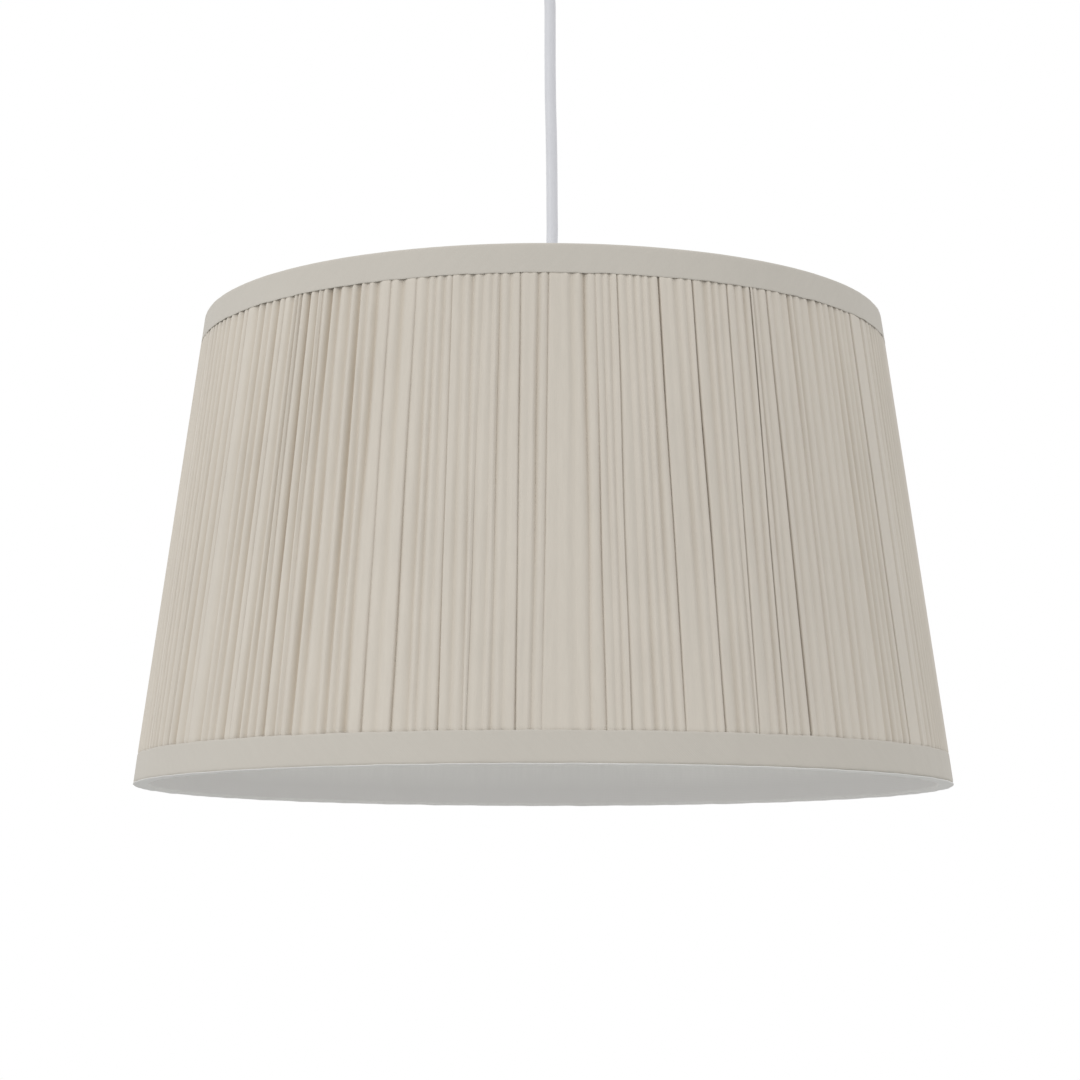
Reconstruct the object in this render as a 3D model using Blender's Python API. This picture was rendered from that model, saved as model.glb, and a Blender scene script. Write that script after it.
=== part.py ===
"""A tapered lamp shade of gathered cloth on a wire frame, hung by a bayonet lampholder on its flex from a
ceiling rose. Metres, +Z up. The origin is the middle of the rose's back, so the ceiling is the plane z = 0
and every height below it is negative."""

import math

import bmesh
import bpy
from mathutils import Vector

MM = 0.001

# General fits
GAP = 0.3 * MM  # between faces that touch on the real object
SEAM_MERGE = 0.001 * MM
LARGE_ROUND = 64  # flats round the shade
SMALL_ROUND = 32  # flats round the rose and the lampholder
TINY_ROUND = 16  # flats round screws and plungers

# Shade: sizes over the cloth
SHADE_TOP = -240 * MM
SHADE_HEIGHT = 232 * MM
SHADE_TOP_RADIUS = 170 * MM
SHADE_BOTTOM_RADIUS = 200 * MM
BAND_HEIGHT = 14 * MM
BAND_TURN_IN = 8 * MM  # how far the band's other edge reaches along the inside
BAND_THICKNESS = 0.6 * MM
COVER_THICKNESS = 1.6 * MM  # gathered folds, pressed flat
LINING_THICKNESS = 0.5 * MM
RING_WIRE_RADIUS = 1.4 * MM
STRUT_WIRE_RADIUS = 1.1 * MM
STRUT_COUNT = 6

# Shade: the spider that carries it
ARM_WIRE_RADIUS = 1.4 * MM
ARM_COUNT = 3
ARM_BEND_RADIUS = 6 * MM
ARM_SHOULDER = 12 * MM  # level run inside the top ring
ARM_SLOPE_RUN = 14 * MM  # how far inwards the arm travels while it drops
FITTER_DROP = 30 * MM  # from the shade's top edge to the fitter plate
FITTER_BORE_RADIUS = 21 * MM
FITTER_RIM = 9 * MM
FITTER_THICKNESS = 1.2 * MM

# Lampholder
THREAD_RADIUS = 14.3 * MM
LAMP_BORE_RADIUS = 11.3 * MM
SOCKET_DEPTH = 21 * MM  # from the contact block's face to the barrel's rim
SHOULDER_WIDTH = 4.7 * MM
SHOULDER_THICKNESS = 3 * MM
SPIGOT_RADIUS = 16.5 * MM
SPIGOT_HEIGHT = 12 * MM
BLOCK_WALL = 0.8 * MM  # the barrel's wall round the contact block
BLOCK_HEIGHT = 17.4 * MM
BLOCK_SINK = 4.3 * MM  # how far the block's seat lies below the shoulder
CAP_WALL = 2 * MM
CAP_STRAIGHT = 15.4 * MM
CAP_DOME_HEIGHT = 20 * MM
CAP_NECK_RADIUS = 8 * MM
RING_NUT_RADIUS = 20 * MM
RING_NUT_HEIGHT = 11 * MM
RING_SKIRT_HEIGHT = 12 * MM
RING_SKIRT_FLARE = 1.5 * MM
REDUCER_FLANGE_RADIUS = 28 * MM
REDUCER_FLANGE_THICKNESS = 2 * MM
REDUCER_BOSS_STAND = 1 * MM  # how far the boss stands above the fitter plate

# Bayonet slots for the lamp's pins
SLOT_WIDTH = 2.8 * MM
SLOT_DEPTH = 1.6 * MM
SLOT_RISE = 8 * MM
SLOT_REACH = 5 * MM

# Plungers and terminals
PLUNGER_SPACING = 8.5 * MM
PLUNGER_TIP_RADIUS = 2 * MM
PLUNGER_COLLAR_RADIUS = 2.5 * MM
PLUNGER_COLLAR_HEIGHT = 3.6 * MM
PLUNGER_STAND = 5 * MM  # how far the tip stands out of the block
PLUNGER_LIP = 1 * MM
SPRING_WIRE_RADIUS = 0.25 * MM
SPRING_TURNS = 6
SPRING_LENGTH = 9 * MM
TERMINAL_SIZE = Vector((6, 7, 6)) * MM
TERMINAL_EDGE = 0.4 * MM
TERMINAL_SPACING = 9.5 * MM
SCREW_RADIUS = 1.2 * MM
SCREW_HEAD_RADIUS = 2.2 * MM
SCREW_HEAD_HEIGHT = 1.6 * MM
SCREW_SLOT = 0.6 * MM

# Ceiling rose
ROSE_RADIUS = 40 * MM
ROSE_STRAIGHT = 15.5 * MM
ROSE_DOME_HEIGHT = 15 * MM
ROSE_NECK_RADIUS = 11 * MM
ROSE_WALL = 2 * MM
ROSE_BASE_THICKNESS = 3.2 * MM
ROSE_RIM_DROP = 0.5 * MM  # the cover's rim stays this far below the ceiling
ROSE_FIXING_SPACING = 50.8 * MM
ROSE_FIXING_RADIUS = 2.2 * MM
ROSE_BLOCK_SIZE = Vector((34, 14, 7.5)) * MM
ROSE_BLOCK_EDGE = 1 * MM
ROSE_BLOCK_OFFSET = 13 * MM
ROSE_TERMINAL_SPACING = 16 * MM

# Flex
FLEX_RADIUS = 2.9 * MM
CORE_RADIUS = 1.05 * MM
CORE_SPREAD = 1.3 * MM
MOUTH_DEPTH = 5 * MM
MOUTH_CLEAR = math.radians(4)  # a mouth opens this much wider than the flex swings
FLEX_SWING = math.radians(30)
HOLDER_TILT = math.radians(12)
FLEX_POINT_SPACING = 13 * MM
# The flex keeps a slight wave from being coiled in its packet: (sideways, height) down its length.
FLEX_ROUTE = [
    (0.0, -33.0), (0.1, -42.0), (1.0, -51.0), (2.4, -59.0), (3.5, -68.0), (3.6, -80.0),
    (3.6, -100.0), (3.75, -120.0), (4.2, -140.0), (4.45, -160.0), (4.55, -178.0),
    (4.6, -192.0), (3.9, -204.0), (2.2, -215.0), (0.7, -225.0), (0.0, -235.0),
]

# Sizes and heights that follow
SHADE_BOTTOM = SHADE_TOP - SHADE_HEIGHT
RING_INSET = BAND_THICKNESS + GAP + RING_WIRE_RADIUS  # from the shade's edge to the ring's centre
COVER_OFFSET = RING_WIRE_RADIUS + GAP
BAND_OFFSET = COVER_OFFSET + COVER_THICKNESS + GAP
OUTER_OFFSET = BAND_OFFSET + BAND_THICKNESS
INNER_OFFSET = RING_WIRE_RADIUS + GAP
LINING_OFFSET = INNER_OFFSET + BAND_THICKNESS + GAP
TOP_RING_RADIUS = SHADE_TOP_RADIUS - OUTER_OFFSET
BOTTOM_RING_RADIUS = SHADE_BOTTOM_RADIUS - OUTER_OFFSET
TOP_RING_Z = SHADE_TOP - RING_INSET
BOTTOM_RING_Z = SHADE_BOTTOM + RING_INSET
TAPER = (BOTTOM_RING_RADIUS - TOP_RING_RADIUS) / (TOP_RING_Z - BOTTOM_RING_Z)

FITTER_Z = SHADE_TOP - FITTER_DROP
FLANGE_TOP = FITTER_Z - FITTER_THICKNESS - GAP
FLANGE_BOTTOM = FLANGE_TOP - REDUCER_FLANGE_THICKNESS
BOSS_TOP = FITTER_Z + REDUCER_BOSS_STAND
SHOULDER_BOTTOM = BOSS_TOP + GAP
SHOULDER_TOP = SHOULDER_BOTTOM + SHOULDER_THICKNESS
SPIGOT_TOP = SHOULDER_TOP + SPIGOT_HEIGHT
BLOCK_RADIUS = THREAD_RADIUS - BLOCK_WALL - GAP
BLOCK_SEAT = SHOULDER_BOTTOM - BLOCK_SINK
BLOCK_BOTTOM = BLOCK_SEAT + GAP
BLOCK_TOP = BLOCK_BOTTOM + BLOCK_HEIGHT
BARREL_RIM = BLOCK_SEAT - SOCKET_DEPTH
CAP_BOTTOM = SHOULDER_TOP + GAP
CAP_SHOULDER = CAP_BOTTOM + CAP_STRAIGHT
CAP_TOP = CAP_SHOULDER + CAP_DOME_HEIGHT
TILT_PIVOT = CAP_TOP - MOUTH_DEPTH
PLUNGER_BOTTOM = BLOCK_BOTTOM - PLUNGER_STAND
COLLAR_BOTTOM = BLOCK_BOTTOM + PLUNGER_LIP + GAP
COLLAR_TOP = COLLAR_BOTTOM + PLUNGER_COLLAR_HEIGHT
SPRING_BOTTOM = COLLAR_TOP + GAP
PLUNGER_BORE_TOP = SPRING_BOTTOM + SPRING_LENGTH + GAP

ROSE_SHOULDER = -ROSE_RIM_DROP - ROSE_STRAIGHT
ROSE_DOME_BOTTOM = ROSE_SHOULDER - ROSE_DOME_HEIGHT
ROSE_MOUTH = ROSE_DOME_BOTTOM - 7 * MM
SWING_PIVOT = ROSE_MOUTH + MOUTH_DEPTH

FINISHES = {  # colour, roughness, metallic
    "gathered_cotton": ((0.60, 0.56, 0.49), 0.9, 0.0),
    "band_cotton": ((0.58, 0.54, 0.48), 0.9, 0.0),
    "lining_cotton": ((0.78, 0.77, 0.74), 0.9, 0.0),
    "frame_paint": ((0.85, 0.85, 0.83), 0.4, 0.0),
    "white_moulding": ((0.86, 0.86, 0.84), 0.3, 0.0),
    "flex_pvc": ((0.78, 0.79, 0.81), 0.4, 0.0),
    "core_brown": ((0.20, 0.09, 0.04), 0.45, 0.0),
    "core_blue": ((0.03, 0.16, 0.48), 0.45, 0.0),
    "brass": ((0.80, 0.60, 0.30), 0.3, 1.0),
    "spring_steel": ((0.62, 0.62, 0.64), 0.3, 1.0),
}


# --- helpers ---------------------------------------------------------------------------------------------


def clear_scene():
    for leftover in list(bpy.data.objects):
        bpy.data.objects.remove(leftover)


def finish_material(finish):
    """The Principled material of this name, made the first time it is asked for."""
    material = bpy.data.materials.get(finish)
    if material is None:
        colour, roughness, metallic = FINISHES[finish]
        material = bpy.data.materials.new(finish)
        material.use_nodes = True
        shader = material.node_tree.nodes["Principled BSDF"]
        shader.inputs["Base Color"].default_value = (*colour, 1)
        shader.inputs["Roughness"].default_value = roughness
        shader.inputs["Metallic"].default_value = metallic
        material.diffuse_color = (*colour, 1)
    return material


def body(name, height=0.0):
    """The empty that a moving group hangs from, on its joint's axis."""
    empty = bpy.data.objects.new(name, None)
    empty.location.z = height
    bpy.context.scene.collection.objects.link(empty)
    bpy.context.view_layer.update()
    return empty


def add_piece(name, data, finish, carrier):
    piece = bpy.data.objects.new(name, data)
    data.materials.append(finish_material(finish))
    bpy.context.scene.collection.objects.link(piece)
    piece.parent = carrier
    piece.matrix_parent_inverse = carrier.matrix_world.inverted()
    return piece


def mesh_from(shape, name):
    bmesh.ops.recalc_face_normals(shape, faces=shape.faces)
    mesh = bpy.data.meshes.new(name)
    shape.to_mesh(mesh)
    shape.free()
    mesh.shade_smooth()
    mesh.set_sharp_from_angle(angle=math.radians(40))
    return mesh


def turned(name, outline, finish, carrier, flats=SMALL_ROUND):
    """An outline of (radius, height) points turned once round the vertical axis. One that starts and ends
    on the axis makes a solid piece, and any other is closed into a ring."""
    shape = bmesh.new()
    corners = [shape.verts.new((radius, 0, height)) for radius, height in outline]
    sides = list(zip(corners, corners[1:]))
    if outline[0][0] > 0:
        sides.append((corners[-1], corners[0]))
    edges = [shape.edges.new(side) for side in sides]
    bmesh.ops.spin(
        shape, geom=corners + edges, axis=(0, 0, 1), angle=math.tau, steps=flats, use_merge=True
    )
    bmesh.ops.remove_doubles(shape, verts=shape.verts, dist=SEAM_MERGE)
    return add_piece(name, mesh_from(shape, name), finish, carrier)


def block(name, size, centre, finish, carrier, edge=0.0):
    """A rectangular block, with its edges rounded off by edge."""
    shape = bmesh.new()
    bmesh.ops.create_cube(shape, size=1)
    bmesh.ops.scale(shape, verts=shape.verts, vec=size)
    if edge:
        bmesh.ops.bevel(shape, geom=shape.edges[:], offset=edge, segments=2, profile=0.5, affect="EDGES")
    piece = add_piece(name, mesh_from(shape, name), finish, carrier)
    piece.location = centre
    return piece


def wire(name, points, radius, finish, carrier, sides=2):
    """A round wire along points, with flat ends."""
    curve = bpy.data.curves.new(name, "CURVE")
    curve.dimensions = "3D"
    curve.bevel_depth = radius
    curve.bevel_resolution = sides
    curve.use_fill_caps = True
    line = curve.splines.new("POLY")
    line.points.add(len(points) - 1)
    for place, point in zip(line.points, points):
        place.co = (*point, 1)
    return add_piece(name, curve, finish, carrier)


def rounded_path(corners, bend_radius, steps=4):
    """Straight runs between corners, with an arc of bend_radius at each inner corner."""
    path = [Vector(corners[0])]
    for before, corner, after in zip(corners, corners[1:], corners[2:]):
        corner = Vector(corner)
        back = (Vector(before) - corner).normalized()
        ahead = (Vector(after) - corner).normalized()
        turn = math.pi - back.angle(ahead)
        reach = bend_radius * math.tan(turn / 2)
        inwards = (back + ahead).normalized()
        centre = corner + inwards * bend_radius / math.cos(turn / 2)
        start = corner + back * reach - centre
        end = corner + ahead * reach - centre
        for step in range(steps + 1):
            share = step / steps
            swept = (start * math.sin((1 - share) * turn) + end * math.sin(share * turn)) / math.sin(turn)
            path.append(centre + swept)
    path.append(Vector(corners[-1]))
    return path


def smooth_route(points, spacing):
    """Points about spacing apart on one smooth curve (Catmull-Rom) through the given points."""
    ends = [2 * points[0] - points[1], *points, 2 * points[-1] - points[-2]]
    fine = []
    for before, start, end, after in zip(ends, ends[1:], ends[2:], ends[3:]):
        steps = max(1, round((end - start).length / spacing))
        for step in range(steps):
            t = step / steps
            fine.append(
                0.5 * (
                    2 * start
                    + (end - before) * t
                    + (2 * before - 5 * start + 4 * end - after) * t**2
                    + (3 * start - before - 3 * end + after) * t**3
                )
            )
    return [*fine, points[-1]]


def arc(centre, radii, start, end, steps):
    """(radius, height) points on an ellipse round centre, from angle start to angle end in degrees."""
    angles = [math.radians(start + (end - start) * step / steps) for step in range(steps + 1)]
    return [(centre[0] + radii[0] * math.cos(a), centre[1] + radii[1] * math.sin(a)) for a in angles]


def cut(piece, cutter):
    """Takes cutter's shape out of piece."""
    cutter.hide_render = True
    cutter.display_type = "WIRE"
    modifier = piece.modifiers.new("cut_" + cutter.name, "BOOLEAN")
    modifier.operation = "DIFFERENCE"
    modifier.object = cutter


def round_cutter(name, radius, low, high, carrier, at=(0, 0)):
    cutter = turned(name, [(0, low), (radius, low), (radius, high), (0, high)], "brass", carrier, TINY_ROUND)
    cutter.location = (*at, 0)
    return cutter


def polar(radius, angle, height):
    return Vector((radius * math.cos(angle), radius * math.sin(angle), height))


def mouth(pivot, swing, opening):
    """The (radius, height) outline of the flared hole that lets the flex swing about pivot: its narrow
    throat first, then its lip. opening is 1 if it opens upwards, and -1 if it opens downwards."""
    lead_in = 0.3 * FLEX_RADIUS
    throat = FLEX_RADIUS + GAP
    lip = throat + (lead_in + MOUTH_DEPTH) * math.tan(swing + MOUTH_CLEAR)
    return [(throat, pivot - opening * lead_in), (lip, pivot + opening * MOUTH_DEPTH)]


# --- shade -----------------------------------------------------------------------------------------------


def ring_outline(radius, height, wire_radius, sides=6):
    points = arc((radius, height), (wire_radius, wire_radius), 0, 360, sides)
    return points[:-1]


def wall_radius(offset, height):
    """Radius of the cone that lies offset outside the rings' centres, at this height."""
    return BOTTOM_RING_RADIUS + offset - TAPER * (height - BOTTOM_RING_Z)


def make_rings(carrier):
    rings = {"top_ring": (TOP_RING_RADIUS, TOP_RING_Z), "bottom_ring": (BOTTOM_RING_RADIUS, BOTTOM_RING_Z)}
    for name, (radius, height) in rings.items():
        outline = ring_outline(radius, height, RING_WIRE_RADIUS)
        turned(name, outline, "frame_paint", carrier, LARGE_ROUND)


def make_struts(carrier):
    """Straight wires that hold the two rings apart, butted to both."""
    low = BOTTOM_RING_Z + RING_WIRE_RADIUS + GAP
    high = TOP_RING_Z - RING_WIRE_RADIUS - GAP
    for index in range(STRUT_COUNT):
        angle = math.tau * index / STRUT_COUNT
        ends = [polar(wall_radius(0, height), angle, height) for height in (low, high)]
        wire(f"strut_{index + 1}", ends, STRUT_WIRE_RADIUS, "frame_paint", carrier)


def arm_angle(index):
    return math.radians(90) + math.tau * index / ARM_COUNT


def make_arms(carrier):
    """Each arm leaves the top ring level, drops to the fitter plate and lies on it."""
    outer = TOP_RING_RADIUS - RING_WIRE_RADIUS - GAP
    shoulder = outer - ARM_SHOULDER
    foot = FITTER_Z + GAP + ARM_WIRE_RADIUS
    inner = FITTER_BORE_RADIUS + 0.3 * FITTER_RIM
    for index in range(ARM_COUNT):
        angle = arm_angle(index)
        corners = [
            polar(outer, angle, TOP_RING_Z),
            polar(shoulder, angle, TOP_RING_Z),
            polar(shoulder - ARM_SLOPE_RUN, angle, foot),
            polar(inner, angle, foot),
        ]
        path = rounded_path(corners, ARM_BEND_RADIUS)
        wire(f"fitter_arm_{index + 1}", path, ARM_WIRE_RADIUS, "frame_paint", carrier)


def make_fitter_plate(carrier):
    outer = FITTER_BORE_RADIUS + FITTER_RIM
    low = FITTER_Z - FITTER_THICKNESS
    outline = [(FITTER_BORE_RADIUS, low), (outer, low), (outer, FITTER_Z), (FITTER_BORE_RADIUS, FITTER_Z)]
    turned("fitter_plate", outline, "frame_paint", carrier)


def wall_outline(inner, outer, low, high):
    """A conical wall between two offsets from the rings' centres."""
    return [
        (wall_radius(inner, low), low),
        (wall_radius(outer, low), low),
        (wall_radius(outer, high), high),
        (wall_radius(inner, high), high),
    ]


def make_cover(carrier):
    outer = COVER_OFFSET + COVER_THICKNESS
    outline = wall_outline(COVER_OFFSET, outer, BOTTOM_RING_Z + GAP, TOP_RING_Z - GAP)
    turned("gathered_cover", outline, "gathered_cotton", carrier, LARGE_ROUND)


def cut_arm_slits(cloth, inner, outer, low, high, carrier):
    """Lets the arms through a cloth, with one slit each between two radii and two heights."""
    size = (outer - inner, 2 * (ARM_WIRE_RADIUS + GAP), high - low)
    for index in range(ARM_COUNT):
        middle = polar((inner + outer) / 2, arm_angle(index), (low + high) / 2)
        slit = block(f"{cloth.name}_slit_{index + 1}", size, middle, "brass", carrier)
        slit.rotation_euler.z = arm_angle(index)
        cut(cloth, slit)


def make_lining(carrier):
    """White cloth inside the frame, its ends turned in at both rings and slit from the top for the arms."""
    low, high = SHADE_BOTTOM + GAP, SHADE_TOP - GAP
    outline = wall_outline(-LINING_OFFSET - LINING_THICKNESS, -LINING_OFFSET, low, high)
    lining = turned("lining", outline, "lining_cotton", carrier, LARGE_ROUND)
    face = TOP_RING_RADIUS - LINING_OFFSET
    slit_low = TOP_RING_Z - ARM_WIRE_RADIUS - GAP
    slit_high = SHADE_TOP + 1 * MM
    cut_arm_slits(
        lining, face - 4 * LINING_THICKNESS, face + 2 * LINING_THICKNESS, slit_low, slit_high, carrier
    )


def band_outline(ring_z, away):
    """The band's cross-section round a ring: up the outside over the cover, round the ring, and a little way
    along the inside. away is 1 where the wall rises from the ring, and -1 where it hangs from it."""
    leg = BAND_HEIGHT - RING_INSET
    turn_in = BAND_TURN_IN - RING_INSET
    outside = [(OUTER_OFFSET, leg), *arc((0, 0), (OUTER_OFFSET, RING_INSET), 0, -90, 2)]
    around = arc((0, 0), (INNER_OFFSET + BAND_THICKNESS, RING_INSET), -90, -180, 2)[1:]
    inside_end = [(-INNER_OFFSET - BAND_THICKNESS, turn_in), (-INNER_OFFSET, turn_in)]
    back_around = arc((0, 0), (INNER_OFFSET, RING_INSET - BAND_THICKNESS), -180, -90, 2)
    back_outside = arc((0, 0), (BAND_OFFSET, RING_INSET - BAND_THICKNESS), -90, 0, 2)[1:]
    section = [*outside, *around, *inside_end, *back_around, *back_outside, (BAND_OFFSET, leg)]
    return [(wall_radius(offset, ring_z + away * rise), ring_z + away * rise) for offset, rise in section]


def make_bands(carrier):
    turned("bottom_band", band_outline(BOTTOM_RING_Z, 1), "band_cotton", carrier, LARGE_ROUND)
    band = turned("top_band", band_outline(TOP_RING_Z, -1), "band_cotton", carrier, LARGE_ROUND)
    slit_low = SHADE_TOP - BAND_TURN_IN - 1 * MM
    slit_high = TOP_RING_Z + ARM_WIRE_RADIUS + GAP
    inner = TOP_RING_RADIUS - LINING_OFFSET - BAND_THICKNESS
    outer = wall_radius(-INNER_OFFSET, slit_low) + GAP
    cut_arm_slits(band, inner, outer, slit_low, slit_high, carrier)


def make_shade(carrier):
    make_rings(carrier)
    make_struts(carrier)
    make_arms(carrier)
    make_fitter_plate(carrier)
    make_cover(carrier)
    make_lining(carrier)
    make_bands(carrier)


# --- lampholder ------------------------------------------------------------------------------------------


def make_reducer(carrier):
    """The ring that fits the plate's wide bore to the lampholder: a boss in the bore, on a flange."""
    bore = THREAD_RADIUS + GAP
    boss = FITTER_BORE_RADIUS - GAP
    outline = [
        (bore, FLANGE_BOTTOM), (REDUCER_FLANGE_RADIUS, FLANGE_BOTTOM), (REDUCER_FLANGE_RADIUS, FLANGE_TOP),
        (boss, FLANGE_TOP), (boss, BOSS_TOP), (bore, BOSS_TOP),
    ]
    turned("reducer_ring", outline, "white_moulding", carrier)


def make_shade_ring(carrier):
    """The screwed ring that clamps the shade up to the lampholder's shoulder, with its skirt below."""
    top = FLANGE_BOTTOM - GAP
    waist = top - RING_NUT_HEIGHT
    bottom = waist - RING_SKIRT_HEIGHT
    bore = THREAD_RADIUS + GAP
    wall = CAP_WALL
    outline = [
        (bore, top), (bore, waist), (RING_NUT_RADIUS - wall, waist - wall),
        (RING_NUT_RADIUS + RING_SKIRT_FLARE - wall, bottom), (RING_NUT_RADIUS + RING_SKIRT_FLARE, bottom),
        (RING_NUT_RADIUS, waist), (RING_NUT_RADIUS, top),
    ]
    turned("shade_ring", outline, "white_moulding", carrier)


def make_barrel(carrier):
    """The lampholder's body: threaded outside, bayonet bore inside, and a shoulder for the shade."""
    shoulder = THREAD_RADIUS + SHOULDER_WIDTH
    seat = BLOCK_RADIUS + GAP
    outline = [
        (LAMP_BORE_RADIUS, BARREL_RIM), (THREAD_RADIUS, BARREL_RIM), (THREAD_RADIUS, SHOULDER_BOTTOM),
        (shoulder, SHOULDER_BOTTOM), (shoulder, SHOULDER_TOP), (SPIGOT_RADIUS, SHOULDER_TOP),
        (SPIGOT_RADIUS, SPIGOT_TOP), (seat, SPIGOT_TOP), (seat, BLOCK_SEAT), (LAMP_BORE_RADIUS, BLOCK_SEAT),
    ]
    barrel = turned("holder_barrel", outline, "white_moulding", carrier)
    inside = 2 * MM  # how far a cutter reaches into the open bore
    depth = SLOT_DEPTH + inside
    middle = LAMP_BORE_RADIUS + SLOT_DEPTH - depth / 2
    catch_height = BARREL_RIM + SLOT_RISE - SLOT_WIDTH / 2 - GAP
    for index, side in enumerate((1, -1)):
        entry_size = (SLOT_WIDTH, depth, SLOT_RISE + 1 * MM)
        entry_middle = (0, side * middle, BARREL_RIM + (SLOT_RISE - 1 * MM) / 2)
        catch_size = (SLOT_REACH, depth, SLOT_WIDTH)
        catch_middle = (-side * (SLOT_REACH - SLOT_WIDTH) / 2, side * (middle - GAP), catch_height)
        cut(barrel, block(f"slot_entry_{index + 1}", entry_size, entry_middle, "brass", carrier))
        cut(barrel, block(f"slot_catch_{index + 1}", catch_size, catch_middle, "brass", carrier))


def make_cap(carrier):
    """The domed cap over the terminals, with a flared mouth for the flex."""
    outer = SPIGOT_RADIUS + GAP + CAP_WALL
    inner = SPIGOT_RADIUS + GAP
    throat, lip = mouth(TILT_PIVOT, HOLDER_TILT, 1)
    roof = CAP_TOP - MOUTH_DEPTH - 2 * MM
    dome = arc((CAP_NECK_RADIUS, CAP_SHOULDER), (outer - CAP_NECK_RADIUS, CAP_DOME_HEIGHT), 0, 90, 5)
    hollow = arc((throat[0], CAP_SHOULDER), (inner - throat[0], roof - CAP_SHOULDER), 90, 0, 4)
    outline = [(inner, CAP_BOTTOM), (outer, CAP_BOTTOM), *dome, lip, throat, *hollow]
    turned("holder_cap", outline, "white_moulding", carrier)


def make_contact_block(carrier):
    """The insulator that holds the plungers and the terminals, seated in the barrel."""
    outline = [(0, BLOCK_BOTTOM), (BLOCK_RADIUS, BLOCK_BOTTOM), (BLOCK_RADIUS, BLOCK_TOP), (0, BLOCK_TOP)]
    insulator = turned("contact_block", outline, "white_moulding", carrier)
    face = BLOCK_BOTTOM - 1 * MM
    lip_top = BLOCK_BOTTOM + PLUNGER_LIP
    tip_bore = PLUNGER_TIP_RADIUS + GAP
    spring_bore = PLUNGER_COLLAR_RADIUS + GAP
    for index, side in enumerate((-1, 1)):
        at = (side * PLUNGER_SPACING / 2, 0)
        cut(insulator, round_cutter(f"tip_bore_{index + 1}", tip_bore, face, COLLAR_BOTTOM, carrier, at))
        cut(
            insulator,
            round_cutter(f"spring_bore_{index + 1}", spring_bore, lip_top, PLUNGER_BORE_TOP, carrier, at),
        )


def make_plungers(carriers):
    """Two sprung contacts with rounded tips, each with a collar that keeps it in the block."""
    tip = PLUNGER_TIP_RADIUS
    crown = arc((0, PLUNGER_BOTTOM + tip / 2), (tip, tip / 2), -90, 0, 3)
    outline = [
        (0, PLUNGER_BOTTOM), *crown[1:], (tip, COLLAR_BOTTOM), (PLUNGER_COLLAR_RADIUS, COLLAR_BOTTOM),
        (PLUNGER_COLLAR_RADIUS, COLLAR_TOP), (0, COLLAR_TOP),
    ]
    for index, (side, carrier) in enumerate(zip((-1, 1), carriers)):
        plunger = turned(f"plunger_{index + 1}", outline, "brass", carrier, TINY_ROUND)
        plunger.location.x = side * PLUNGER_SPACING / 2


def make_springs(carrier):
    """A coil between each plunger's collar and the roof of its bore."""
    coil_radius = PLUNGER_COLLAR_RADIUS - 2 * SPRING_WIRE_RADIUS
    rise = SPRING_LENGTH - 2 * SPRING_WIRE_RADIUS
    steps = 8 * SPRING_TURNS
    for index, side in enumerate((-1, 1)):
        points = []
        for step in range(steps + 1):
            share = step / steps
            height = SPRING_BOTTOM + SPRING_WIRE_RADIUS + rise * share
            point = polar(coil_radius, math.tau * SPRING_TURNS * share, height)
            points.append(point + Vector((side * PLUNGER_SPACING / 2, 0, 0)))
        wire(f"plunger_spring_{index + 1}", points, SPRING_WIRE_RADIUS, "spring_steel", carrier, sides=0)


def screw(name, place, turn, length, carrier):
    """A slotted cheese-head screw whose head's underside is at place, driven along its own +Z."""
    outline = [
        (0, -SCREW_HEAD_HEIGHT), (SCREW_HEAD_RADIUS, -SCREW_HEAD_HEIGHT), (SCREW_HEAD_RADIUS, 0),
        (SCREW_RADIUS, 0), (SCREW_RADIUS, length), (0, length),
    ]
    piece = turned(name, outline, "brass", carrier, TINY_ROUND)
    slot_height = SCREW_HEAD_HEIGHT / 2
    size = (3 * SCREW_HEAD_RADIUS, SCREW_SLOT, 2 * slot_height)
    slot = block(name + "_slot", size, (0, 0, -SCREW_HEAD_HEIGHT), "brass", carrier)
    for part in (piece, slot):
        part.rotation_euler = turn
    piece.location = place
    slot.location = Vector(place) + piece.rotation_euler.to_matrix() @ Vector((0, 0, -SCREW_HEAD_HEIGHT))
    cut(piece, slot)


def make_holder_terminals(carrier):
    """Brass blocks on the insulator, each with a screw driven in from the side."""
    middle = BLOCK_TOP + GAP + TERMINAL_SIZE.z / 2
    front = -TERMINAL_SIZE.y / 2
    length = 0.6 * TERMINAL_SIZE.y
    for name, side in (("live", -1), ("neutral", 1)):
        x = side * TERMINAL_SPACING / 2
        terminal = block(
            f"terminal_{name}", TERMINAL_SIZE, (x, 0, middle), "brass", carrier, TERMINAL_EDGE
        )
        bore = round_cutter(f"terminal_bore_{name}", SCREW_RADIUS + GAP, -1 * MM, length + GAP, carrier)
        bore.rotation_euler.x = -math.pi / 2
        bore.location = (x, front, middle)
        cut(terminal, bore)
        screw(f"terminal_screw_{name}", (x, front - GAP, middle), (-math.pi / 2, 0, 0), length, carrier)


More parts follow.
